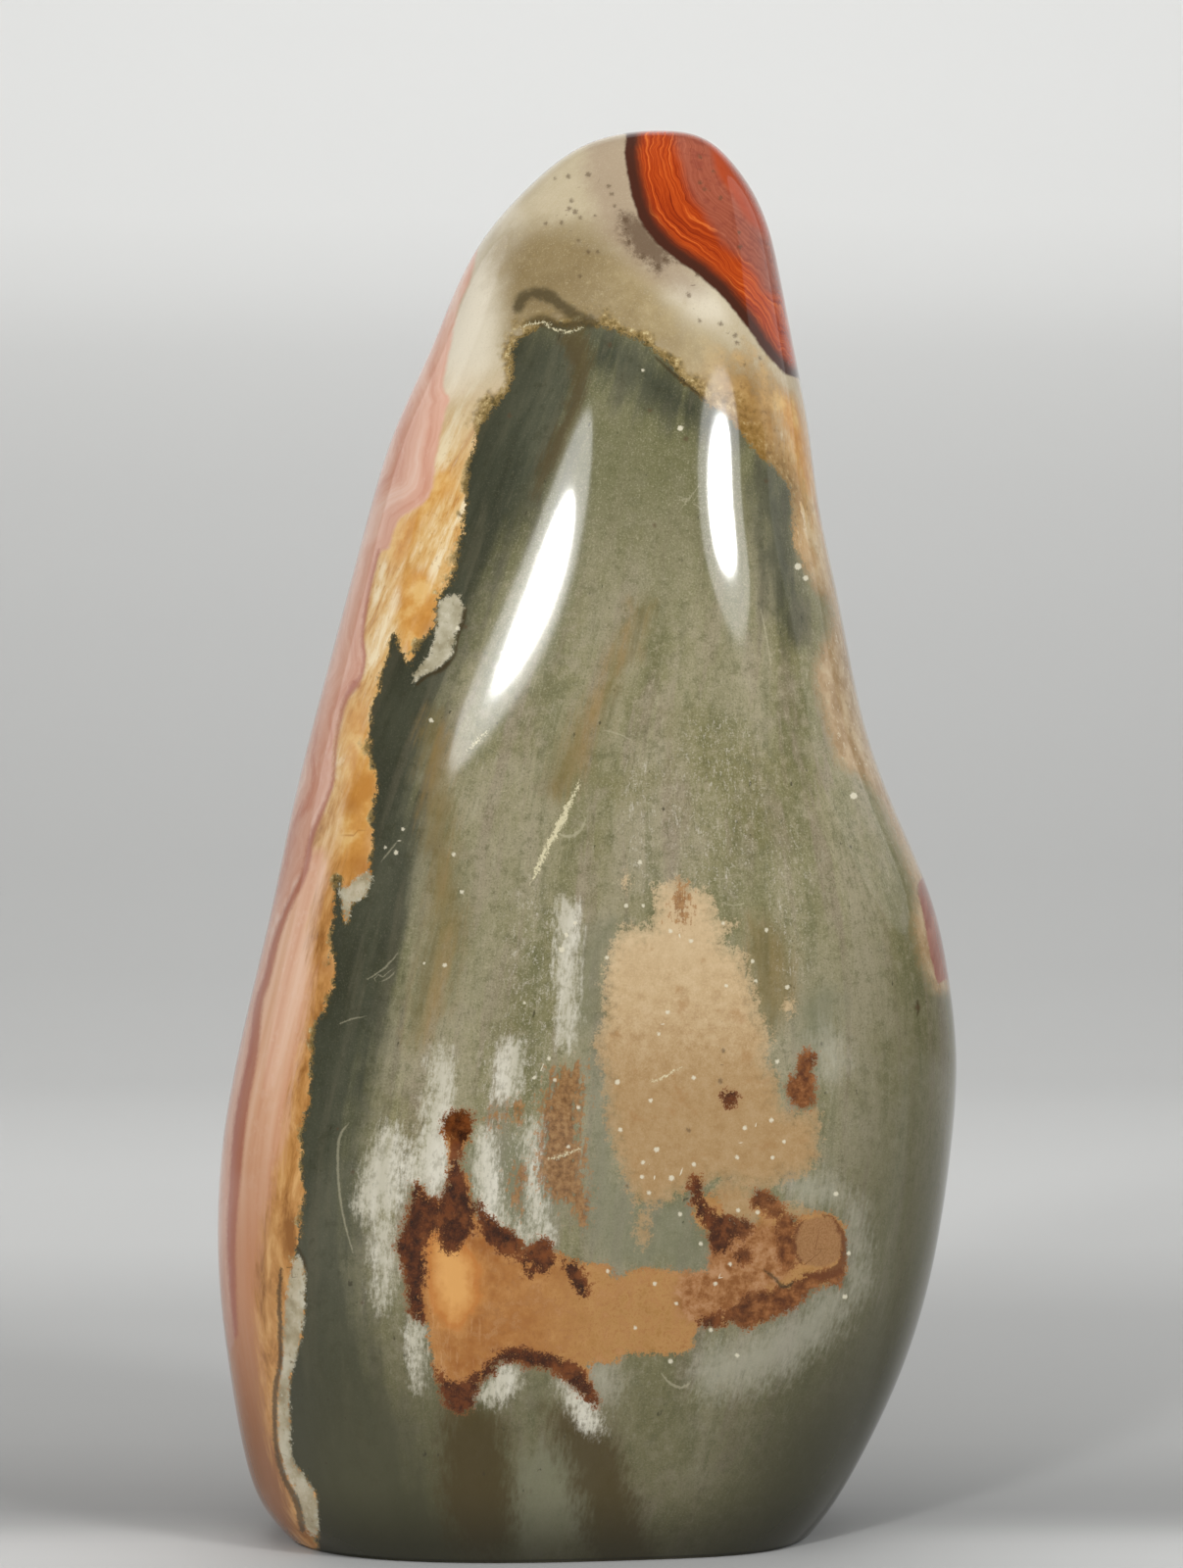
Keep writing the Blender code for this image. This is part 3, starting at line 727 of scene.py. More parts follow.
# Each zone is the front outline's field blended into the back one's from the side on. The other marks
# stand on the front alone, and are pushed out of reach behind the sides.
def markStone():
    seen = photoPlace(stonePlaces)
    turned = photoPlace(stonePlaces * [-1, -1, 1])  # as seen once the stone is turned half round
    backness = np.sin(stoneTurn)
    behind = easeStep(*sideBlend["zones"], backness)
    hidden = easeStep(*sideBlend["marks"], backness)
    for name, loop in zones.items():
        front = insideBy(loop, seen, measuring["zoneReach"])
        back = insideBy(backZones[name], turned, measuring["zoneReach"])
        setField(name, front * (1 - behind) + back * behind)
    for name, loops in patches.items():
        field = np.full(len(seen), -farOff)
        for loop in loops:
            field = np.maximum(field, insideBy(loop, seen))
        setField(name, field * (1 - hidden) - farOff * hidden)
    for name, lines in strokes.items():
        field = besideLine(lines[0], seen)
        for stroke in lines[1:]:
            other = besideLine(stroke, seen)
            closer = np.abs(other[:, 0]) - other[:, 1] < np.abs(field[:, 0]) - field[:, 1]
            field[closer] = other[closer]
        field[:, 1] -= farOff * hidden
        setField(name, field)
    for name, marks in dotSets.items():
        reach = measuring["toastReach"] if name.startswith("toast") else measuring["dotReach"]
        field = nearestDot(marks, seen, reach)
        field[:, 2] -= farOff * hidden
        setField(name, field)
    middleX, halfX = sectionAt(stoneRise)[1:3]
    x, y, z = stonePlaces.T
    across = (x - middleX) / np.maximum(halfX, grain["narrowest"]) * grain["halfWidth"]
    aboveBend = np.logaddexp(0, (z - grain["bend"]) / grain["bendLength"]) * grain["bendLength"]
    setField("grain", np.stack([across - grain["slant"] * aboveBend, y, z], axis=-1))


markStone()
print("markings laid on", len(stonePlaces), "points")


# The material
def tint(red, green, blue):  # a colour written as 0 to 255, as light
    part = np.array([red, green, blue]) / 255
    light = np.where(part <= 0.04045, part / 12.92, ((part + 0.055) / 1.055) ** 2.4)
    return (*(float(value) for value in light), 1.0)


def wire(tree, kind, inputs, **settings):
    node = tree.nodes.new("ShaderNode" + kind)
    for name, value in settings.items():
        setattr(node, name, value)
    for key, value in inputs.items():
        if isinstance(value, bpy.types.NodeSocket):
            tree.links.new(value, node.inputs[key])
        else:
            node.inputs[key].default_value = value
    return node


class Wires:  # the nodes of one material under short names; its noises run from 0 to 1 about a half
    def __init__(self, tree):
        self.tree = tree
        self.place = self.scaled(wire(tree, "TexCoord", {}).outputs["Object"], 1000, 1000, 1000)  # mm
        self.height = wire(tree, "SeparateXYZ", {0: self.place}).outputs[2]
        self.grain = self.vector("grain")
        self.across = self.parts("grain")[0]
        self.depth = self.parts("grain")[1]
        self.streaks = self.noise(self.along(0.08), 0.45, 4, 0.55)
        self.threads = self.noise(self.along(0.14), 2.4, 4, 0.6)
        self.dashes = self.noise(self.along(0.30), 3.2, 4, 0.68)
        self.veils = self.noise(self.along(0.30), 0.13, 4, 0.6, 0.3)
        self.clouds = self.noise(self.place, 0.06, 4, 0.55, 0.5)
        self.wander = self.noise(self.place, 0.25, 2, 0.5)
        self.blotches = self.noise(self.place, 0.35, 4, 0.6)
        self.mottle = self.noise(self.place, 0.75, 5, 0.7)
        self.crumbs = self.noise(self.place, 1.5, 5, 0.68)
        self.grit = self.noise(self.place, 5.0, 4, 0.7)
        cloudy = self.both(self.ease(self.depth, -2, 12), self.calc("SUBTRACT", self.clouds, 0.5))
        self.folds = self.add(0.5, cloudy, 1.0)  # the clouds again, on the back only
        self.brush = self.noise(self.along(0.34), 0.42, 6, 0.66, 0.4)

    def calc(self, operation, *values):
        return wire(self.tree, "Math", dict(enumerate(values)), operation=operation).outputs[0]

    def vector(self, name):
        return wire(self.tree, "Attribute", {}, attribute_name=name).outputs["Vector"]

    def field(self, name):
        return wire(self.tree, "Attribute", {}, attribute_name=name).outputs["Fac"]

    def parts(self, name):
        return wire(self.tree, "SeparateXYZ", {0: self.vector(name)}).outputs

    def scaled(self, place, across, deep, up):
        node = wire(self.tree, "VectorMath", {0: place, 1: (across, deep, up)}, operation="MULTIPLY")
        return node.outputs[0]

    def along(self, stretch):  # places squeezed along the stone's grain, so that noise in them is drawn out
        return self.scaled(self.grain, 1, 1, stretch)

    def joined(self, x, y, z):
        return wire(self.tree, "CombineXYZ", {0: x, 1: y, 2: z}).outputs[0]

    def noise(self, place, scale, detail=3.0, roughness=0.55, distortion=0.0):
        inputs = {"Vector": place, "Scale": scale, "Detail": detail, "Roughness": roughness}
        inputs["Distortion"] = distortion
        return wire(self.tree, "TexNoise", inputs).outputs[0]

    def ease(self, value, low, high, start=0.0, end=1.0):  # from start at low smoothly to end at high
        inputs = {"Value": value, "From Min": low, "From Max": high, "To Min": start, "To Max": end}
        return wire(self.tree, "MapRange", inputs, interpolation_type="SMOOTHSTEP").outputs[0]

    def mix(self, share, first, second):
        node = wire(self.tree, "Mix", {0: share, 6: first, 7: second}, data_type="RGBA")
        return node.outputs[2]

    def ramp(self, value, *stops):
        node = wire(self.tree, "ValToRGB", {0: value})
        elements = node.color_ramp.elements
        while len(elements) < len(stops):
            elements.new(0.5)
        for element, (place, colour) in zip(elements, stops):
            element.position = place
            element.color = tint(*colour)
        return node.outputs[0]

    def both(self, first, *others):  # the product of all
        for other in others:
            first = self.calc("MULTIPLY", first, other)
        return first

    def add(self, value, part, size):  # value + size * part
        return self.calc("MULTIPLY_ADD", part, size, value)

    def shaken(self, value, **sizes):  # a value with noises of the given sizes, in mm, laid on it
        for name, size in sizes.items():
            value = self.add(value, self.calc("SUBTRACT", getattr(self, name), 0.5), size * 2)
        return value

    def rough(self, name, **sizes):  # how far inside an outline with a shaken edge, in mm
        return self.shaken(self.field(name), **sizes)

    def within(self, name, low, high, **sizes):
        return self.ease(self.rough(name, **sizes), low, high)

    def stroke(self, name, wobble):  # how far inside an open line, in mm
        sides = self.parts(name)
        gap = self.calc("ABSOLUTE", self.shaken(sides[0], crumbs=wobble / 2))
        return self.shaken(self.calc("SUBTRACT", sides[1], gap), grit=wobble / 2)

    def spot(self, name, wobble):  # how far inside the nearest dot, in mm
        aside, down = (self.shaken(side, crumbs=wobble / 3) for side in self.parts(name)[:2])
        gap = self.calc("SQRT", self.add(self.both(aside, aside), down, down))
        return self.shaken(self.calc("SUBTRACT", self.parts(name)[2], gap), grit=wobble / 2)

    def spots(self, name, wobble):  # the same for all sets of dots of one name
        sets = [self.spot(other, wobble) for other in dotSets if other.startswith(name)]
        most = sets[0]
        for other in sets[1:]:
            most = self.calc("MAXIMUM", most, other)
        return most

    def lay(self, under, share, colour, *strengths):  # a colour over another, by its share and strengths
        top = tint(*colour) if isinstance(colour, tuple) else colour
        return self.mix(self.both(share, *strengths) if strengths else share, under, top)

    def layers(self, under, *rows):  # noises laid over a colour in turn: noise, low, high, colour, strengths
        for name, low, high, colour, *strengths in rows:
            under = self.lay(under, self.ease(getattr(self, name), low, high), colour, *strengths)
        return under


# The green ground is sage with olive and mauve veils drawn out along the grain, slate to the left, with
# painted shade towards the base and the lower right.
def greenGround(w):
    ground = w.ramp(w.veils, (0.36, (120, 116, 82)), (0.46, (138, 133, 98)), (0.55, (152, 145, 113)),
                    (0.66, (162, 153, 126)))
    lowDown = w.ease(w.height, 118, 84, 0.35, 1.0)
    ground = w.layers(
        ground,
        ("streaks", 0.50, 0.64, (148, 134, 114), 0.70, lowDown),
        ("streaks", 0.47, 0.33, (114, 113, 80), 0.60, lowDown),
        ("clouds", 0.50, 0.62, (128, 122, 82), 0.55),
        ("clouds", 0.48, 0.38, (160, 152, 124), 0.40),
        ("blotches", 0.53, 0.68, (158, 148, 124), 0.45),
        ("mottle", 0.51, 0.66, (170, 160, 132), 0.45),
        ("mottle", 0.49, 0.34, (106, 104, 72), 0.50),
        ("height", 96, 122, (106, 105, 73), 0.72),
        ("threads", 0.55, 0.74, (192, 184, 158), 0.30, lowDown),
        ("threads", 0.45, 0.28, (90, 88, 60), 0.32, lowDown),
        ("grit", 0.52, 0.68, (188, 180, 150), 0.42),
        ("grit", 0.48, 0.32, (80, 78, 52), 0.42),
    )
    slate = w.ramp(w.veils, (0.38, (52, 55, 44)), (0.5, (66, 69, 56)), (0.62, (82, 83, 67)))
    slate = w.layers(
        slate,
        ("streaks", 0.50, 0.66, (100, 96, 76), 0.45),
        ("grit", 0.52, 0.70, (106, 104, 84), 0.35),
        ("mottle", 0.48, 0.34, (54, 54, 38), 0.40),
    )
    ground = w.lay(ground, w.within("slate", -3.4, 2.6, streaks=5.0, blotches=1.5), slate, 0.90)
    # Painted shade: the green darkens towards the base, and more towards the lower right, where the stone
    # turns down and away.
    ground = w.lay(ground, w.ease(w.height, 46, 4), (70, 68, 43), w.ease(w.across, -14, 2, 0.85, 0.55))
    paintedShadeLowRight = w.both(w.ease(w.across, 14, 34), w.ease(w.height, 92, 34))
    ground = w.lay(ground, paintedShadeLowRight, (78, 76, 52), 0.80)
    ground = w.lay(ground, w.both(w.ease(w.across, 12, 30), w.ease(w.height, 36, 10)), (46, 45, 26), 0.75)
    # Darker towards the far left edge.
    ground = w.lay(ground, w.ease(w.across, -22, -33), (48, 48, 34), 0.50)
    ground = w.lay(ground, w.within("cool", -2.0, 1.5, streaks=3.0, blotches=1.5, crumbs=0.6),
                   (126, 126, 102), 0.60)
    rusty = w.ramp(w.streaks, (0.38, (106, 92, 50)), (0.55, (134, 112, 62)), (0.68, (152, 122, 68)))
    # The ochre darkens near the base, as painted shade.
    rusty = w.mix(w.ease(w.height, 34, 14), rusty, tint(70, 56, 20))
    ochre = w.within("ochre", -2.2, 1.8, threads=2.5, blotches=1.6, crumbs=0.5)
    ground = w.lay(ground, ochre, rusty, w.ease(w.height, 20, 50, 0.85, 0.66))
    # Painted shade along the very base.
    ground = w.lay(ground, w.ease(w.height, 10, 0), (40, 38, 22), 0.75)
    streak = w.within("streak", -0.9, 0.7, threads=1.2, blotches=0.6, crumbs=0.6)
    ground = w.lay(ground, streak, (84, 68, 38), 0.66)
    spots = w.noise(w.along(0.6), 1.3, 2, 0.5)
    ground = w.lay(ground, w.ease(spots, 0.71, 0.79), (54, 50, 34), 0.70)
    sparks = w.add(w.both(w.dashes, 0.6), w.grit, 0.4)
    flecks = w.both(w.within("fleck", -2.5, 1.5, blotches=2.0), w.ease(sparks, 0.52, 0.64))
    return w.lay(ground, flecks, (204, 196, 180), 0.58)


# The patches within the green: chalky haze, tan, and the orange one with its rusty edge.
def patchesOver(w, ground):
    haze = w.rough("haze", dashes=1.8, threads=0.8, streaks=1.4, blotches=0.8, crumbs=0.7, grit=0.5)
    chalk = w.ramp(w.streaks, (0.34, (190, 185, 163)), (0.50, (206, 200, 180)), (0.66, (222, 217, 200)))
    broken = w.add(w.both(w.mottle, 0.6), w.dashes, 0.4)
    ground = w.lay(ground, w.ease(haze, -1.4, 0.9), chalk, w.ease(broken, 0.40, 0.54, 0.50, 0.94))
    mist = w.rough("mist", dashes=2.4, threads=1.4, blotches=1.6, crumbs=0.8)
    ground = w.lay(ground, w.ease(mist, -2.6, 2.0), (190, 186, 168), 0.46)
    patch = w.ramp(w.mottle, (0.34, (176, 142, 98)), (0.5, (194, 163, 119)), (0.66, (206, 178, 138)))
    patch = w.layers(
        patch,
        ("grit", 0.50, 0.68, (222, 198, 160), 0.45),
        ("grit", 0.46, 0.30, (156, 122, 78), 0.50),
        ("height", 64, 50, (160, 124, 76), 0.55),
        ("height", 54, 72, (220, 196, 158), 0.58),
        ("blotches", 0.56, 0.70, (166, 122, 72), 0.50),
    )
    tan = w.rough("tan", blotches=0.9, crumbs=1.7, grit=1.3, threads=0.6)
    leaks = w.ease(w.rough("tan", crumbs=2.5), -0.4, 2.2, 0.55, 1.0)
    ground = w.lay(ground, w.ease(tan, -0.30, 0.45), patch, leaks)
    specks = w.ramp(w.crumbs, (0.38, (112, 66, 28)), (0.5, (146, 98, 52)), (0.62, (168, 124, 76)))
    column = w.rough("column", blotches=0.8, crumbs=3.2, grit=1.6, threads=2.6)
    ground = w.lay(ground, w.ease(column, -0.2, 0.9), specks, 0.80)
    warm = w.ramp(w.blotches, (0.34, (158, 98, 44)), (0.46, (172, 114, 57)), (0.58, (184, 129, 72)),
                  (0.70, (196, 143, 86)))
    farther = w.ramp(w.mottle, (0.35, (170, 126, 70)), (0.6, (198, 156, 100)))
    warm = w.lay(warm, w.ease(w.across, -8, 6), farther, 0.80)
    warm = w.lay(warm, w.ease(w.shaken(w.across, blotches=9.0), -14, -7), (164, 108, 56),
                 w.ease(w.mottle, 0.44, 0.60), 0.55)
    warm = w.lay(warm, w.ease(w.threads, 0.52, 0.68), (216, 170, 120), w.ease(w.across, -6, -12), 0.40)
    warm = w.layers(
        warm,
        ("mottle", 0.54, 0.66, (204, 158, 108), 0.34),
        ("crumbs", 0.54, 0.68, (150, 96, 46), 0.40),
        ("grit", 0.52, 0.68, (154, 100, 50), 0.40),
    )
    glow = w.rough("glow", blotches=1.4, crumbs=0.5)
    warm = w.lay(warm, w.ease(glow, -1.8, 0.5), (216, 150, 78), 0.70)
    warm = w.lay(warm, w.ease(glow, 0.2, 1.6), (236, 180, 108), 0.60)
    loop = w.both(w.ease(glow, -0.9, -0.35), w.ease(glow, 0.35, -0.25))
    warm = w.lay(warm, loop, (190, 112, 44), 0.45)
    brown = w.ramp(w.mottle, (0.40, (132, 78, 36)), (0.50, (166, 114, 70)), (0.60, (186, 140, 100)))
    warm = w.lay(warm, w.within("brown", -1.0, 0.8, blotches=0.9, crumbs=1.0, grit=0.6), brown, 0.85)
    orange = w.rough("orange", blotches=0.4, crumbs=1.2, grit=1.0)
    ground = w.mix(w.ease(orange, -0.16, 0.24), ground, warm)
    rust = w.rough("rust", threads=0.5, blotches=0.4, crumbs=1.4, grit=1.4)
    fringe = w.ramp(w.grit, (0.38, (112, 60, 26)), (0.62, (160, 102, 54)))
    heart = w.ramp(w.mottle, (0.36, (44, 20, 4)), (0.48, (66, 31, 9)), (0.62, (104, 54, 20)))
    heart = w.layers(
        heart,
        ("blotches", 0.50, 0.66, (138, 78, 34), 0.60),
        ("grit", 0.54, 0.70, (150, 92, 46), 0.35),
    )
    lighter = w.ramp(w.mottle, (0.40, (100, 54, 22)), (0.52, (138, 84, 40)), (0.62, (168, 112, 64)))
    heart = w.mix(w.ease(w.across, 12, 20, 0.0, 0.75), heart, lighter)
    ground = w.lay(ground, w.ease(rust, -0.34, 0.02), fringe, 0.70)
    ground = w.mix(w.ease(rust, -0.05, 0.24), ground, heart)
    dust = w.rough("orange", crumbs=3.6, grit=2.4)
    dust = w.both(w.ease(dust, 0.2, 0.9), w.ease(w.field("orange"), 0.5, -0.6), w.ease(w.height, 26, 32))
    return w.lay(ground, dust, fringe, 0.55)


# Cream lies beyond the green's edge, golden on the left, with a crumbly crust along the edge.
def creamBorder(w, outside):
    high = w.ease(w.height, 116, 134)
    right = w.ease(w.across, 0, 12)
    cream = w.ramp(w.clouds, (0.38, (184, 170, 140)), (0.5, (196, 182, 153)), (0.62, (208, 196, 170)))
    cream = w.lay(cream, w.ease(w.threads, 0.48, 0.70), (184, 166, 130), 0.35)
    cream = w.lay(cream, w.within("white", -1.8, 1.4, blotches=1.2, threads=0.8), (224, 214, 192), 0.80)
    umber = w.ramp(w.blotches, (0.32, (142, 120, 78)), (0.5, (158, 137, 94)), (0.68, (176, 156, 114)))
    umber = w.layers(
        umber,
        ("across", -6, -24, (112, 90, 48), 0.60),
        ("crumbs", 0.54, 0.70, (190, 172, 128), 0.35),
        ("crumbs", 0.46, 0.30, (112, 92, 54), 0.35),
    )
    cream = w.lay(cream, w.within("umber", -3.6, 2.0, blotches=2.2, crumbs=0.6), umber,
                  w.ease(w.across, -10, 4, 0.84, 0.66))
    mauve = w.within("mauve", -2.2, 1.2, blotches=1.4, crumbs=0.5)
    cream = w.lay(cream, mauve, (156, 134, 112), 0.66)
    cream = w.layers(
        cream,
        ("grit", 0.52, 0.70, (226, 216, 188), 0.20),
        ("grit", 0.46, 0.30, (150, 132, 96), 0.22),
    )
    golden = w.ramp(w.brush, (0.34, (184, 128, 66)), (0.43, (210, 160, 92)), (0.52, (224, 186, 126)),
                    (0.64, (242, 222, 182)))
    golden = w.layers(
        golden,
        ("threads", 0.54, 0.72, (248, 236, 208), 0.30),
        ("crumbs", 0.45, 0.30, (170, 116, 58), 0.45),
    )
    lower = w.ramp(w.brush, (0.36, (150, 98, 46)), (0.5, (196, 140, 78)), (0.64, (224, 174, 112)))
    golden = w.mix(w.ease(w.shaken(w.height, blotches=7.0), 88, 74), golden, lower)
    khaki = w.ramp(w.blotches, (0.36, (164, 134, 94)), (0.5, (184, 156, 118)), (0.64, (202, 178, 142)))
    khaki = w.layers(
        khaki,
        ("crumbs", 0.57, 0.66, (222, 208, 178), 0.55),
        ("mottle", 0.44, 0.34, (146, 122, 84), 0.45),
    )
    golden = w.lay(golden, right, khaki, w.ease(w.height, 122, 104))
    contour = w.shaken(w.field("green"), wander=3.0, blotches=0.6, folds=16.0)
    rings = w.noise(w.joined(w.both(contour, 0.32), w.both(w.height, 0.012), 0.0), 1.0, 4, 0.6)
    banded = w.ramp(rings, (0.32, (172, 118, 92)), (0.41, (206, 160, 124)), (0.50, (222, 196, 158)),
                    (0.58, (196, 162, 132)), (0.68, (232, 214, 186)))
    banded = w.lay(banded, w.ease(w.grit, 0.52, 0.70), (228, 208, 178), 0.25)
    golden = w.lay(golden, w.ease(w.depth, -9, 2), banded, 0.92)
    cream = w.mix(high, golden, cream)
    cream = w.lay(cream, w.ease(w.depth, -2, 9), banded, 0.55)
    lobes = w.ramp(w.blotches, (0.36, (198, 134, 58)), (0.5, (214, 154, 76)), (0.64, (230, 186, 116)))
    cream = w.lay(cream, w.within("golden", -1.3, 1.2, blotches=0.8, threads=1.2), lobes, 0.88)
    toast = w.shaken(w.spots("toast", 0.2), blotches=1.4)
    cream = w.lay(cream, w.ease(toast, -1.3, 0.7), (168, 106, 50), 0.55)
    crust = w.ramp(w.crumbs, (0.34, (84, 72, 40)), (0.46, (132, 110, 66)), (0.58, (170, 146, 98)),
                   (0.70, (226, 210, 160)))
    wider = w.both(right, w.ease(w.height, 112, 122))
    crust = w.lay(crust, wider, (150, 106, 42), 0.50)
    width = w.shaken(w.add(w.ease(w.height, 118, 130, 0.25, 1.3), wider, 1.3), blotches=2.2)
    width = w.calc("MAXIMUM", width, 0.15)
    share = w.shaken(w.calc("DIVIDE", outside, width), grit=0.5, crumbs=0.5)
    bark = w.ramp(w.blotches, (0.36, (122, 84, 34)), (0.5, (156, 114, 54)), (0.64, (192, 150, 88)))
    bark = w.lay(bark, w.ease(w.crumbs, 0.46, 0.32), (98, 70, 32), 0.50)
    inland = w.within("golden", 1.0, -1.4, blotches=0.8)
    barkShare = w.both(w.ease(share, 3.4, 1.4), right, w.ease(w.height, 108, 116), inland)
    cream = w.lay(cream, barkShare, bark, 0.78)
    thin = w.ease(w.both(right, w.ease(w.height, 122, 110)), 0, 1, 1, 0.2)
    return w.lay(cream, w.ease(share, 1.5, 0.4), crust, thin)


# The eye at the top: orange lines follow its dark rim, with a mauve heart.
def eyeOver(w, cream):
    eye = w.rough("eye", blotches=0.25, crumbs=0.15)
    line = w.shaken(w.field("eye"), wander=1.1, mottle=0.12)
    lines = w.noise(w.joined(w.both(line, 1.5), 0.0, w.both(w.height, 0.035)), 2.2, 5, 0.72)
    iris = w.ramp(lines, (0.32, (112, 30, 8)), (0.44, (158, 54, 14)), (0.55, (188, 76, 24)),
                  (0.66, (222, 118, 50)))
    heart = w.ramp(lines, (0.34, (144, 72, 50)), (0.50, (158, 84, 62)), (0.66, (172, 98, 74)))
    heart = w.lay(heart, w.ease(w.mottle, 0.49, 0.62), (132, 62, 48), 0.50)
    band = w.rough("core", blotches=0.5, crumbs=0.2)
    iris = w.mix(w.ease(band, -0.7, 0.9), iris, heart)
    core = w.field("core")
    iris = w.lay(iris, w.ease(core, 3.4, 4.4), (176, 66, 22), w.ease(core, 6.2, 5.0), 0.75)
    rim = w.calc("DIVIDE", eye, w.ease(w.height, 122, 142, 0.75, 1.75))
    iris = w.mix(w.ease(rim, 0.45, 1.35), tint(72, 38, 26), iris)
    smoke = w.rough("smoke", blotches=0.8, crumbs=1.9, grit=1.3)
    cream = w.lay(cream, w.ease(smoke, -0.9, 0.9), (92, 70, 52), 0.75)
    return w.mix(w.ease(eye, -0.22, 0.16), cream, iris)


# Salmon bands run down the left side, over a peach one along the base; both darken near the base as painted
# shade.
def pinkOver(w, cream):
    pink = w.rough("pink", blotches=0.3, crumbs=0.2, folds=10.0)
    drift = w.rough("pink", wander=0.9, folds=18.0)
    bands = w.noise(w.joined(w.both(drift, 0.55), w.both(w.height, 0.02), 0.0), 1.0, 4, 0.55)
    rose = w.ramp(bands, (0.32, (196, 126, 98)), (0.43, (212, 156, 130)), (0.55, (222, 174, 150)),
                  (0.68, (232, 200, 180)))
    rose = w.lay(rose, w.ease(w.mottle, 0.50, 0.68), (226, 184, 164), 0.30)
    silk = w.noise(w.along(0.05), 0.34, 3, 0.55)
    peach = w.ramp(silk, (0.34, (218, 158, 122)), (0.5, (229, 180, 146)), (0.66, (238, 198, 168)))
    peach = w.layers(
        peach,
        ("mottle", 0.50, 0.66, (238, 200, 172), 0.30),
        # the peach turns deeper orange lower down, then darker near the base as painted shade
        ("height", 54, 30, (190, 118, 68), 0.66),
        ("height", 32, 6, (124, 76, 36), 0.80),
    )
    # Painted shade: the salmon darkens near the base.
    rose = w.lay(rose, w.ease(w.height, 36, 8), (140, 88, 60), 0.70)
    cream = w.mix(w.within("peach", -0.8, 1.2, blotches=0.3, threads=1.1, folds=8.0), cream, peach)
    cream = w.mix(w.ease(pink, -0.30, 0.24), cream, rose)
    maroon = w.ramp(bands, (0.35, (146, 86, 68)), (0.65, (180, 124, 104)))
    return w.mix(w.within("maroon", -0.1, 0.2, crumbs=0.3, grit=0.2, folds=12.0), cream, maroon)


# Small marks: the seam, crust islets, the squarish spot, thin lines, pits and specks.
def marksOver(w, colour, outside):
    seam = w.both(w.ease(w.calc("ABSOLUTE", outside), 0.30, 0.05), w.ease(w.crumbs, 0.42, 0.58, 0.0, 0.75))
    colour = w.lay(colour, seam, (70, 60, 38), w.ease(w.across, 12, 4, 0.25, 1.0))
    crust = w.ramp(w.blotches, (0.36, (158, 148, 118)), (0.50, (186, 177, 150)), (0.64, (208, 200, 176)))
    crust = w.layers(
        crust,
        ("crumbs", 0.44, 0.30, (120, 108, 78), 0.55),
        ("crumbs", 0.58, 0.70, (226, 220, 198), 0.50),
    )
    colour = w.lay(colour, w.within("islet", -0.16, 0.24, crumbs=0.9, grit=0.6), crust, 0.92)
    fold = w.within("fold", -0.45, 0.40, crumbs=0.7, grit=0.3)
    colour = w.lay(colour, fold, (72, 62, 40), 0.80)
    disc = w.ramp(w.grit, (0.40, (140, 98, 58)), (0.60, (168, 124, 82)))
    colour = w.lay(colour, w.within("disc", -0.15, 0.30, crumbs=0.3, grit=0.3), disc, 0.85)
    for name, wobble, low, high, tone, strength in (
        ("red", 0.4, -0.30, 0.24, (164, 84, 62), 0.74),
        ("rustLine", 1.0, -0.16, 0.20, (104, 56, 24), 0.85),
        ("dark", 0.6, -0.16, 0.18, (64, 52, 30), 0.80),
        ("pale", 1.4, -0.10, 0.22, (226, 216, 178), 0.85),
        ("glint", 0.2, -0.08, 0.10, (200, 192, 162), 0.35),
    ):
        colour = w.lay(colour, w.ease(w.stroke(name, wobble), low, high), tone, strength)
    colour = w.lay(colour, w.ease(w.spots("pit", 0.9), -0.16, 0.16), (88, 68, 48), 0.62)
    return w.lay(colour, w.ease(w.spots("speck", 0.4), -0.10, 0.10), (232, 224, 198), 0.78)


polish = {"roughness": 0.07, "refraction": 1.54}


def jasperMaterial():
    material = bpy.data.materials.new("polychromeJasper")
    material.use_nodes = True
    shader = material.node_tree.nodes["Principled BSDF"]
    w = Wires(material.node_tree)
    edge = w.rough("green", blotches=0.6, crumbs=1.0, grit=0.8)
    outside = w.calc("MULTIPLY", edge, -1.0)
    ground = patchesOver(w, greenGround(w))
    cream = pinkOver(w, eyeOver(w, creamBorder(w, outside)))
    soft = w.ease(w.both(w.ease(w.across, 4, 12), w.ease(w.height, 118, 106)), 0, 1, 1, 0.16)
    colour = w.mix(w.ease(w.both(outside, soft), 0.12, -0.16), cream, ground)
    colour = marksOver(w, colour, outside)
    material.node_tree.links.new(colour, shader.inputs["Base Color"])
    shader.inputs["Roughness"].default_value = polish["roughness"]
    shader.inputs["IOR"].default_value = polish["refraction"]
    return material


stone = bpy.data.objects.new("jasperStone", stoneMesh)
stone.data.materials.append(jasperMaterial())
bpy.context.scene.collection.objects.link(stone)
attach(stone, "root")
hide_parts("stone")
print("stone dressed")

makeCamera()

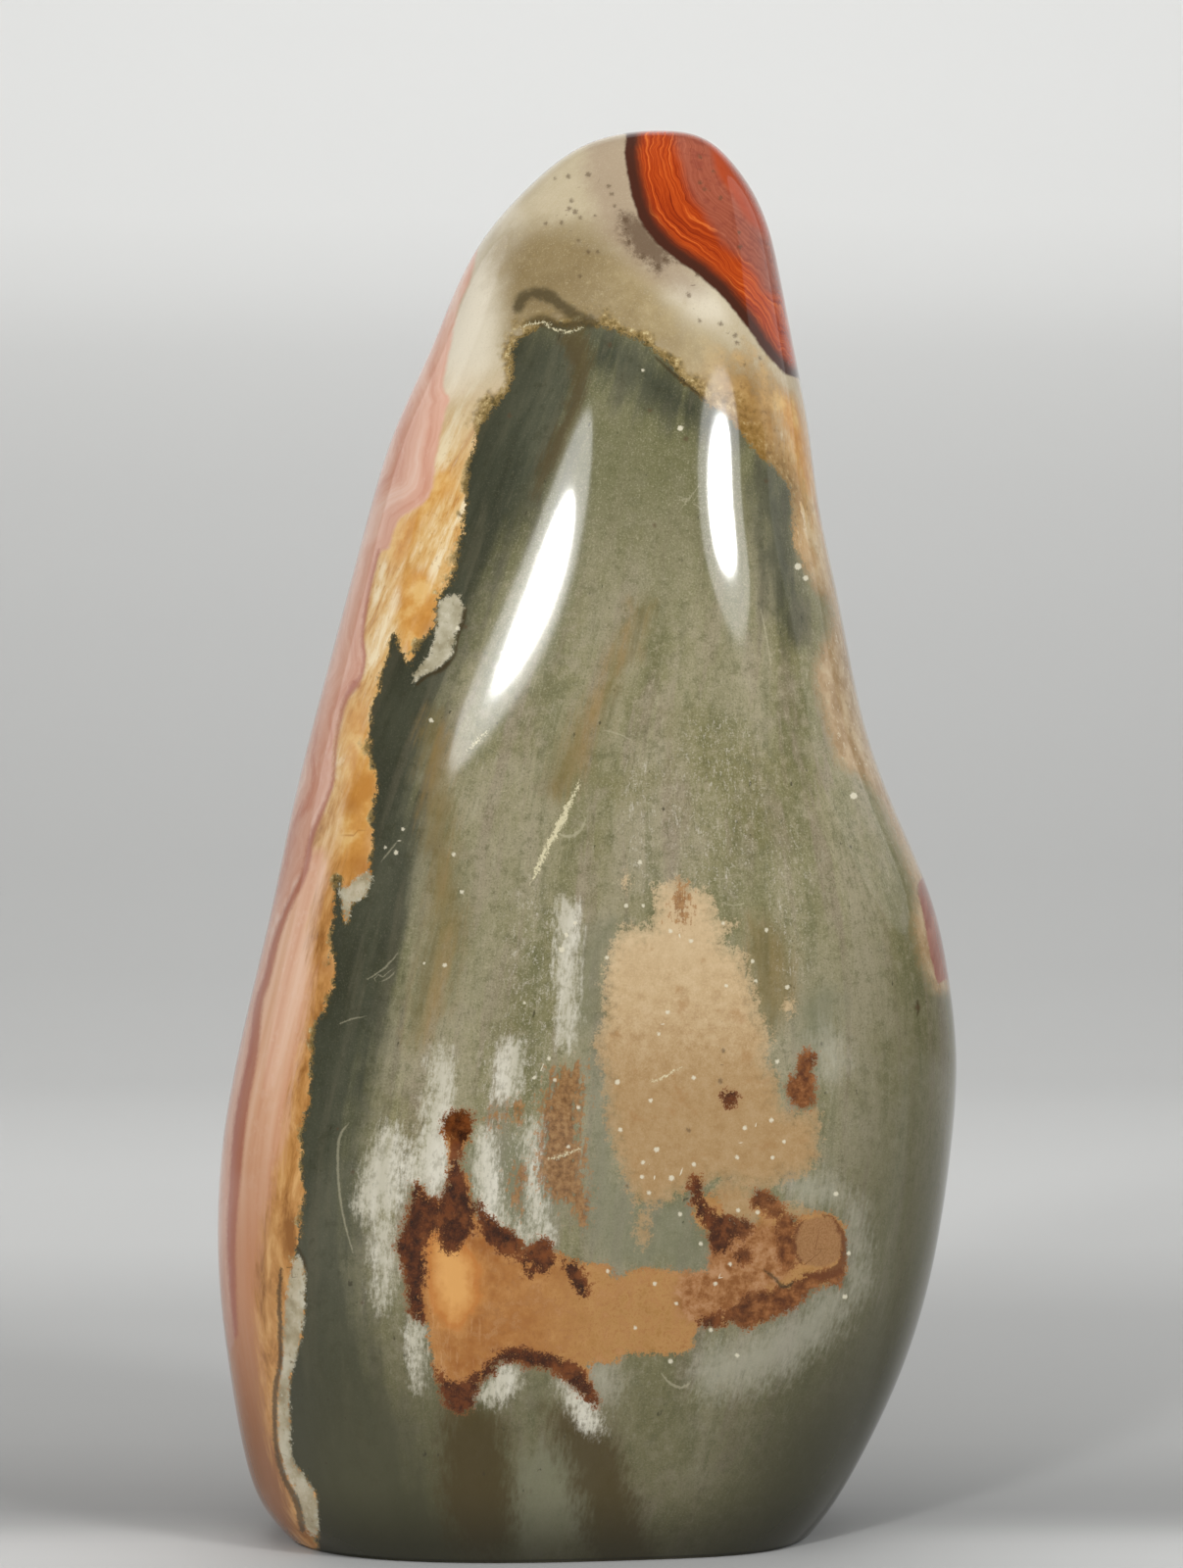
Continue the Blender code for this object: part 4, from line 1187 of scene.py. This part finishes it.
# Room and light
room = {
    "halfWidth": 1500.0,  # mm
    "front": -900.0,
    "sink": 0.05,  # mm, how far the paper lies under the base
    "hue": (1.0, 1.002, 0.985),  # the paper's red, green and blue for a tone of 1
    "roughness": 0.9,
    "sheen": 0.1,
    "air": (0.98, 1.0, 1.0, 1.0),
    "airStrength": 0.08,
    "bendStart": 640.0,  # mm behind the stone's middle, where the paper starts to curve up
    "bendRadius": 240.0,
    "bendEnd": 84.0,  # degrees
    "wallLength": 1000.0,
    "lowest": -0.12,  # share of the way up the view where the painted shades start
    "paintedShades": (  # how pale the paper is painted along its length, as painted light falloff, a painted pale band and a painted shadow band just behind the stone's foot: share of the way up the view, and its tone
        (-0.120, 0.24), (-0.050, 0.34), (-0.010, 0.50), (0.006, 0.52), (0.015, 0.49), (0.020, 0.445),
        (0.025, 0.38), (0.030, 0.32), (0.037, 0.28), (0.050, 0.285), (0.062, 0.31), (0.081, 0.35),
        (0.100, 0.373), (0.119, 0.385), (0.162, 0.415), (0.206, 0.515), (0.250, 0.543), (0.294, 0.525),
        (0.338, 0.487), (0.381, 0.464), (0.450, 0.462), (0.512, 0.483), (0.600, 0.522), (0.688, 0.577),
        (0.775, 0.648), (0.819, 0.726), (0.863, 0.773), (0.950, 0.770), (1.000, 0.760),
    ),
}
lamps = {  # azimuth and elevation from the stone in degrees; distance, width and height in m; brightness
    "leftLamp": (-22, 20.8, 0.9, 0.085, 0.205, 75.0),
    "rightLamp": (44.5, 25.6, 0.9, 0.18, 0.105, 62.0),
    "leftVeil": (-21.5, 22.4, 0.95, 0.17, 0.43, 6.0),
    "rightVeil": (45, 25.2, 0.95, 0.35, 0.25, 4.4),
    "overhead": (180, 74, 1.0, 1.2, 1.0, 2.05),
    "topFill": (-10, 56, 0.9, 0.6, 0.5, 1.6),
    "wallLamp": (180, 60, 0.9, 1.6, 0.3, 2.0),
    "leftSide": (-105, 24, 1.0, 0.9, 0.8, 0.75),
    "rightSide": (105, 28, 1.0, 0.9, 0.8, 0.55),
}
unmirrored = ("overhead", "topFill", "wallLamp")  # lamps that light without a reflection in the polish
lampAims = {"wallLamp": (0.0, 0.95, 0.42)}  # m; the others face the stone
lampRolls = {"leftLamp": -35, "leftVeil": -35}  # degrees about the way the lamp faces
lampTarget = (0.0, -0.018, 0.108)  # m, the place on the stone that the distances start from


# The paper lies flat, bends up along an arc of a circle and goes on straight. Its tone at a point is the one
# for the height in the view at which the camera sees that point, painted light and shade rather than the
# lamps' own.
def makeRoom():
    angle = np.radians(np.linspace(0, room["bendEnd"], 15))
    bendY = room["bendStart"] + room["bendRadius"] * np.sin(angle)
    bendZ = room["bendRadius"] * (1 - np.cos(angle))
    far = np.linspace(0, room["wallLength"], 30)[1:]
    stretches = ((room["front"], -80, 6), (-70, 60, 27), (80, 620, 30))  # closest under the stone
    floorY = np.concatenate([np.linspace(*stretch) for stretch in stretches])
    profile = np.concatenate([
        np.stack([floorY, np.zeros(len(floorY))], axis=-1),
        np.stack([bendY, bendZ], axis=-1),
        np.stack([bendY[-1] + far * math.cos(angle[-1]), bendZ[-1] + far * math.sin(angle[-1])], axis=-1),
    ])
    spread = np.array([-1.0, 0.0, 1.0]) * room["halfWidth"]
    points = np.array([(x, y, z) for y, z in profile for x in spread])
    inView = points[:, 1] > 100 - photoView["distance"]
    height = np.full(len(points), room["lowest"])
    height[inView] = 1 - photoPlace(points[inView] * [0, 1, 1])[:, 1] / photoView["height"]
    wayUp = (height - room["lowest"]) / (1 - room["lowest"])
    across = len(spread)
    faces = [(i * across + j, i * across + j + 1, (i + 1) * across + j + 1, (i + 1) * across + j)
             for i in range(len(profile) - 1) for j in range(across - 1)]
    mesh = bpy.data.meshes.new("paperSweep")
    mesh.from_pydata((points * mm - [0, 0, room["sink"] * mm]).tolist(), [], faces)
    mesh.shade_smooth()
    attribute = mesh.attributes.new("wayUp", "FLOAT", "POINT")
    attribute.data.foreach_set("value", np.clip(wayUp, 0, 1).astype(np.float32))
    sweep = bpy.data.objects.new("paperSweep", mesh)
    material = bpy.data.materials.new("greyPaper")
    material.use_nodes = True
    tree = material.node_tree
    shader = tree.nodes["Principled BSDF"]
    tone = wire(tree, "ValToRGB", {0: wire(tree, "Attribute", {}, attribute_name="wayUp").outputs["Fac"]})
    elements = tone.color_ramp.elements
    while len(elements) < len(room["paintedShades"]):
        elements.new(0.5)
    for element, (place, value) in zip(elements, room["paintedShades"]):
        element.position = (place - room["lowest"]) / (1 - room["lowest"])
        element.color = (*(value * part for part in room["hue"]), 1)
    tree.links.new(tone.outputs[0], shader.inputs["Base Color"])
    shader.inputs["Roughness"].default_value = room["roughness"]
    shader.inputs["Specular IOR Level"].default_value = room["sheen"]
    mesh.materials.append(material)
    bpy.context.scene.collection.objects.link(sweep)


# An oval lamp that faces the stone; its power is its brightness times its area times pi.
def makeLamp(name, azimuth, elevation, distance, width, tall, brightness):
    data = bpy.data.lights.new(name, "AREA")
    data.shape = "ELLIPSE"
    data.size = width
    data.size_y = tall
    data.energy = brightness * math.pi * math.pi / 4 * width * tall
    lamp = bpy.data.objects.new(name, data)
    a, e = math.radians(azimuth), math.radians(elevation)
    away = Vector((math.sin(a) * math.cos(e), -math.cos(a) * math.cos(e), math.sin(e)))
    lamp.location = Vector(lampTarget) + away * distance
    if name in lampAims:
        away = lamp.location - Vector(lampAims[name])
    roll = Quaternion((0, 0, 1), math.radians(lampRolls.get(name, 0)))
    lamp.rotation_euler = (away.to_track_quat("Z", "Y") @ roll).to_euler()
    lamp.visible_glossy = name not in unmirrored
    bpy.context.scene.collection.objects.link(lamp)


makeRoom()
for lampName, facts in lamps.items():
    makeLamp(lampName, *facts)
world = bpy.data.worlds.new("softRoom")
bpy.context.scene.world = world
world.use_nodes = True
air = world.node_tree.nodes["Background"]
air.inputs["Color"].default_value = room["air"]
air.inputs["Strength"].default_value = room["airStrength"]
bpy.context.scene.view_settings.view_transform = "Standard"
print("room and lamps ready")
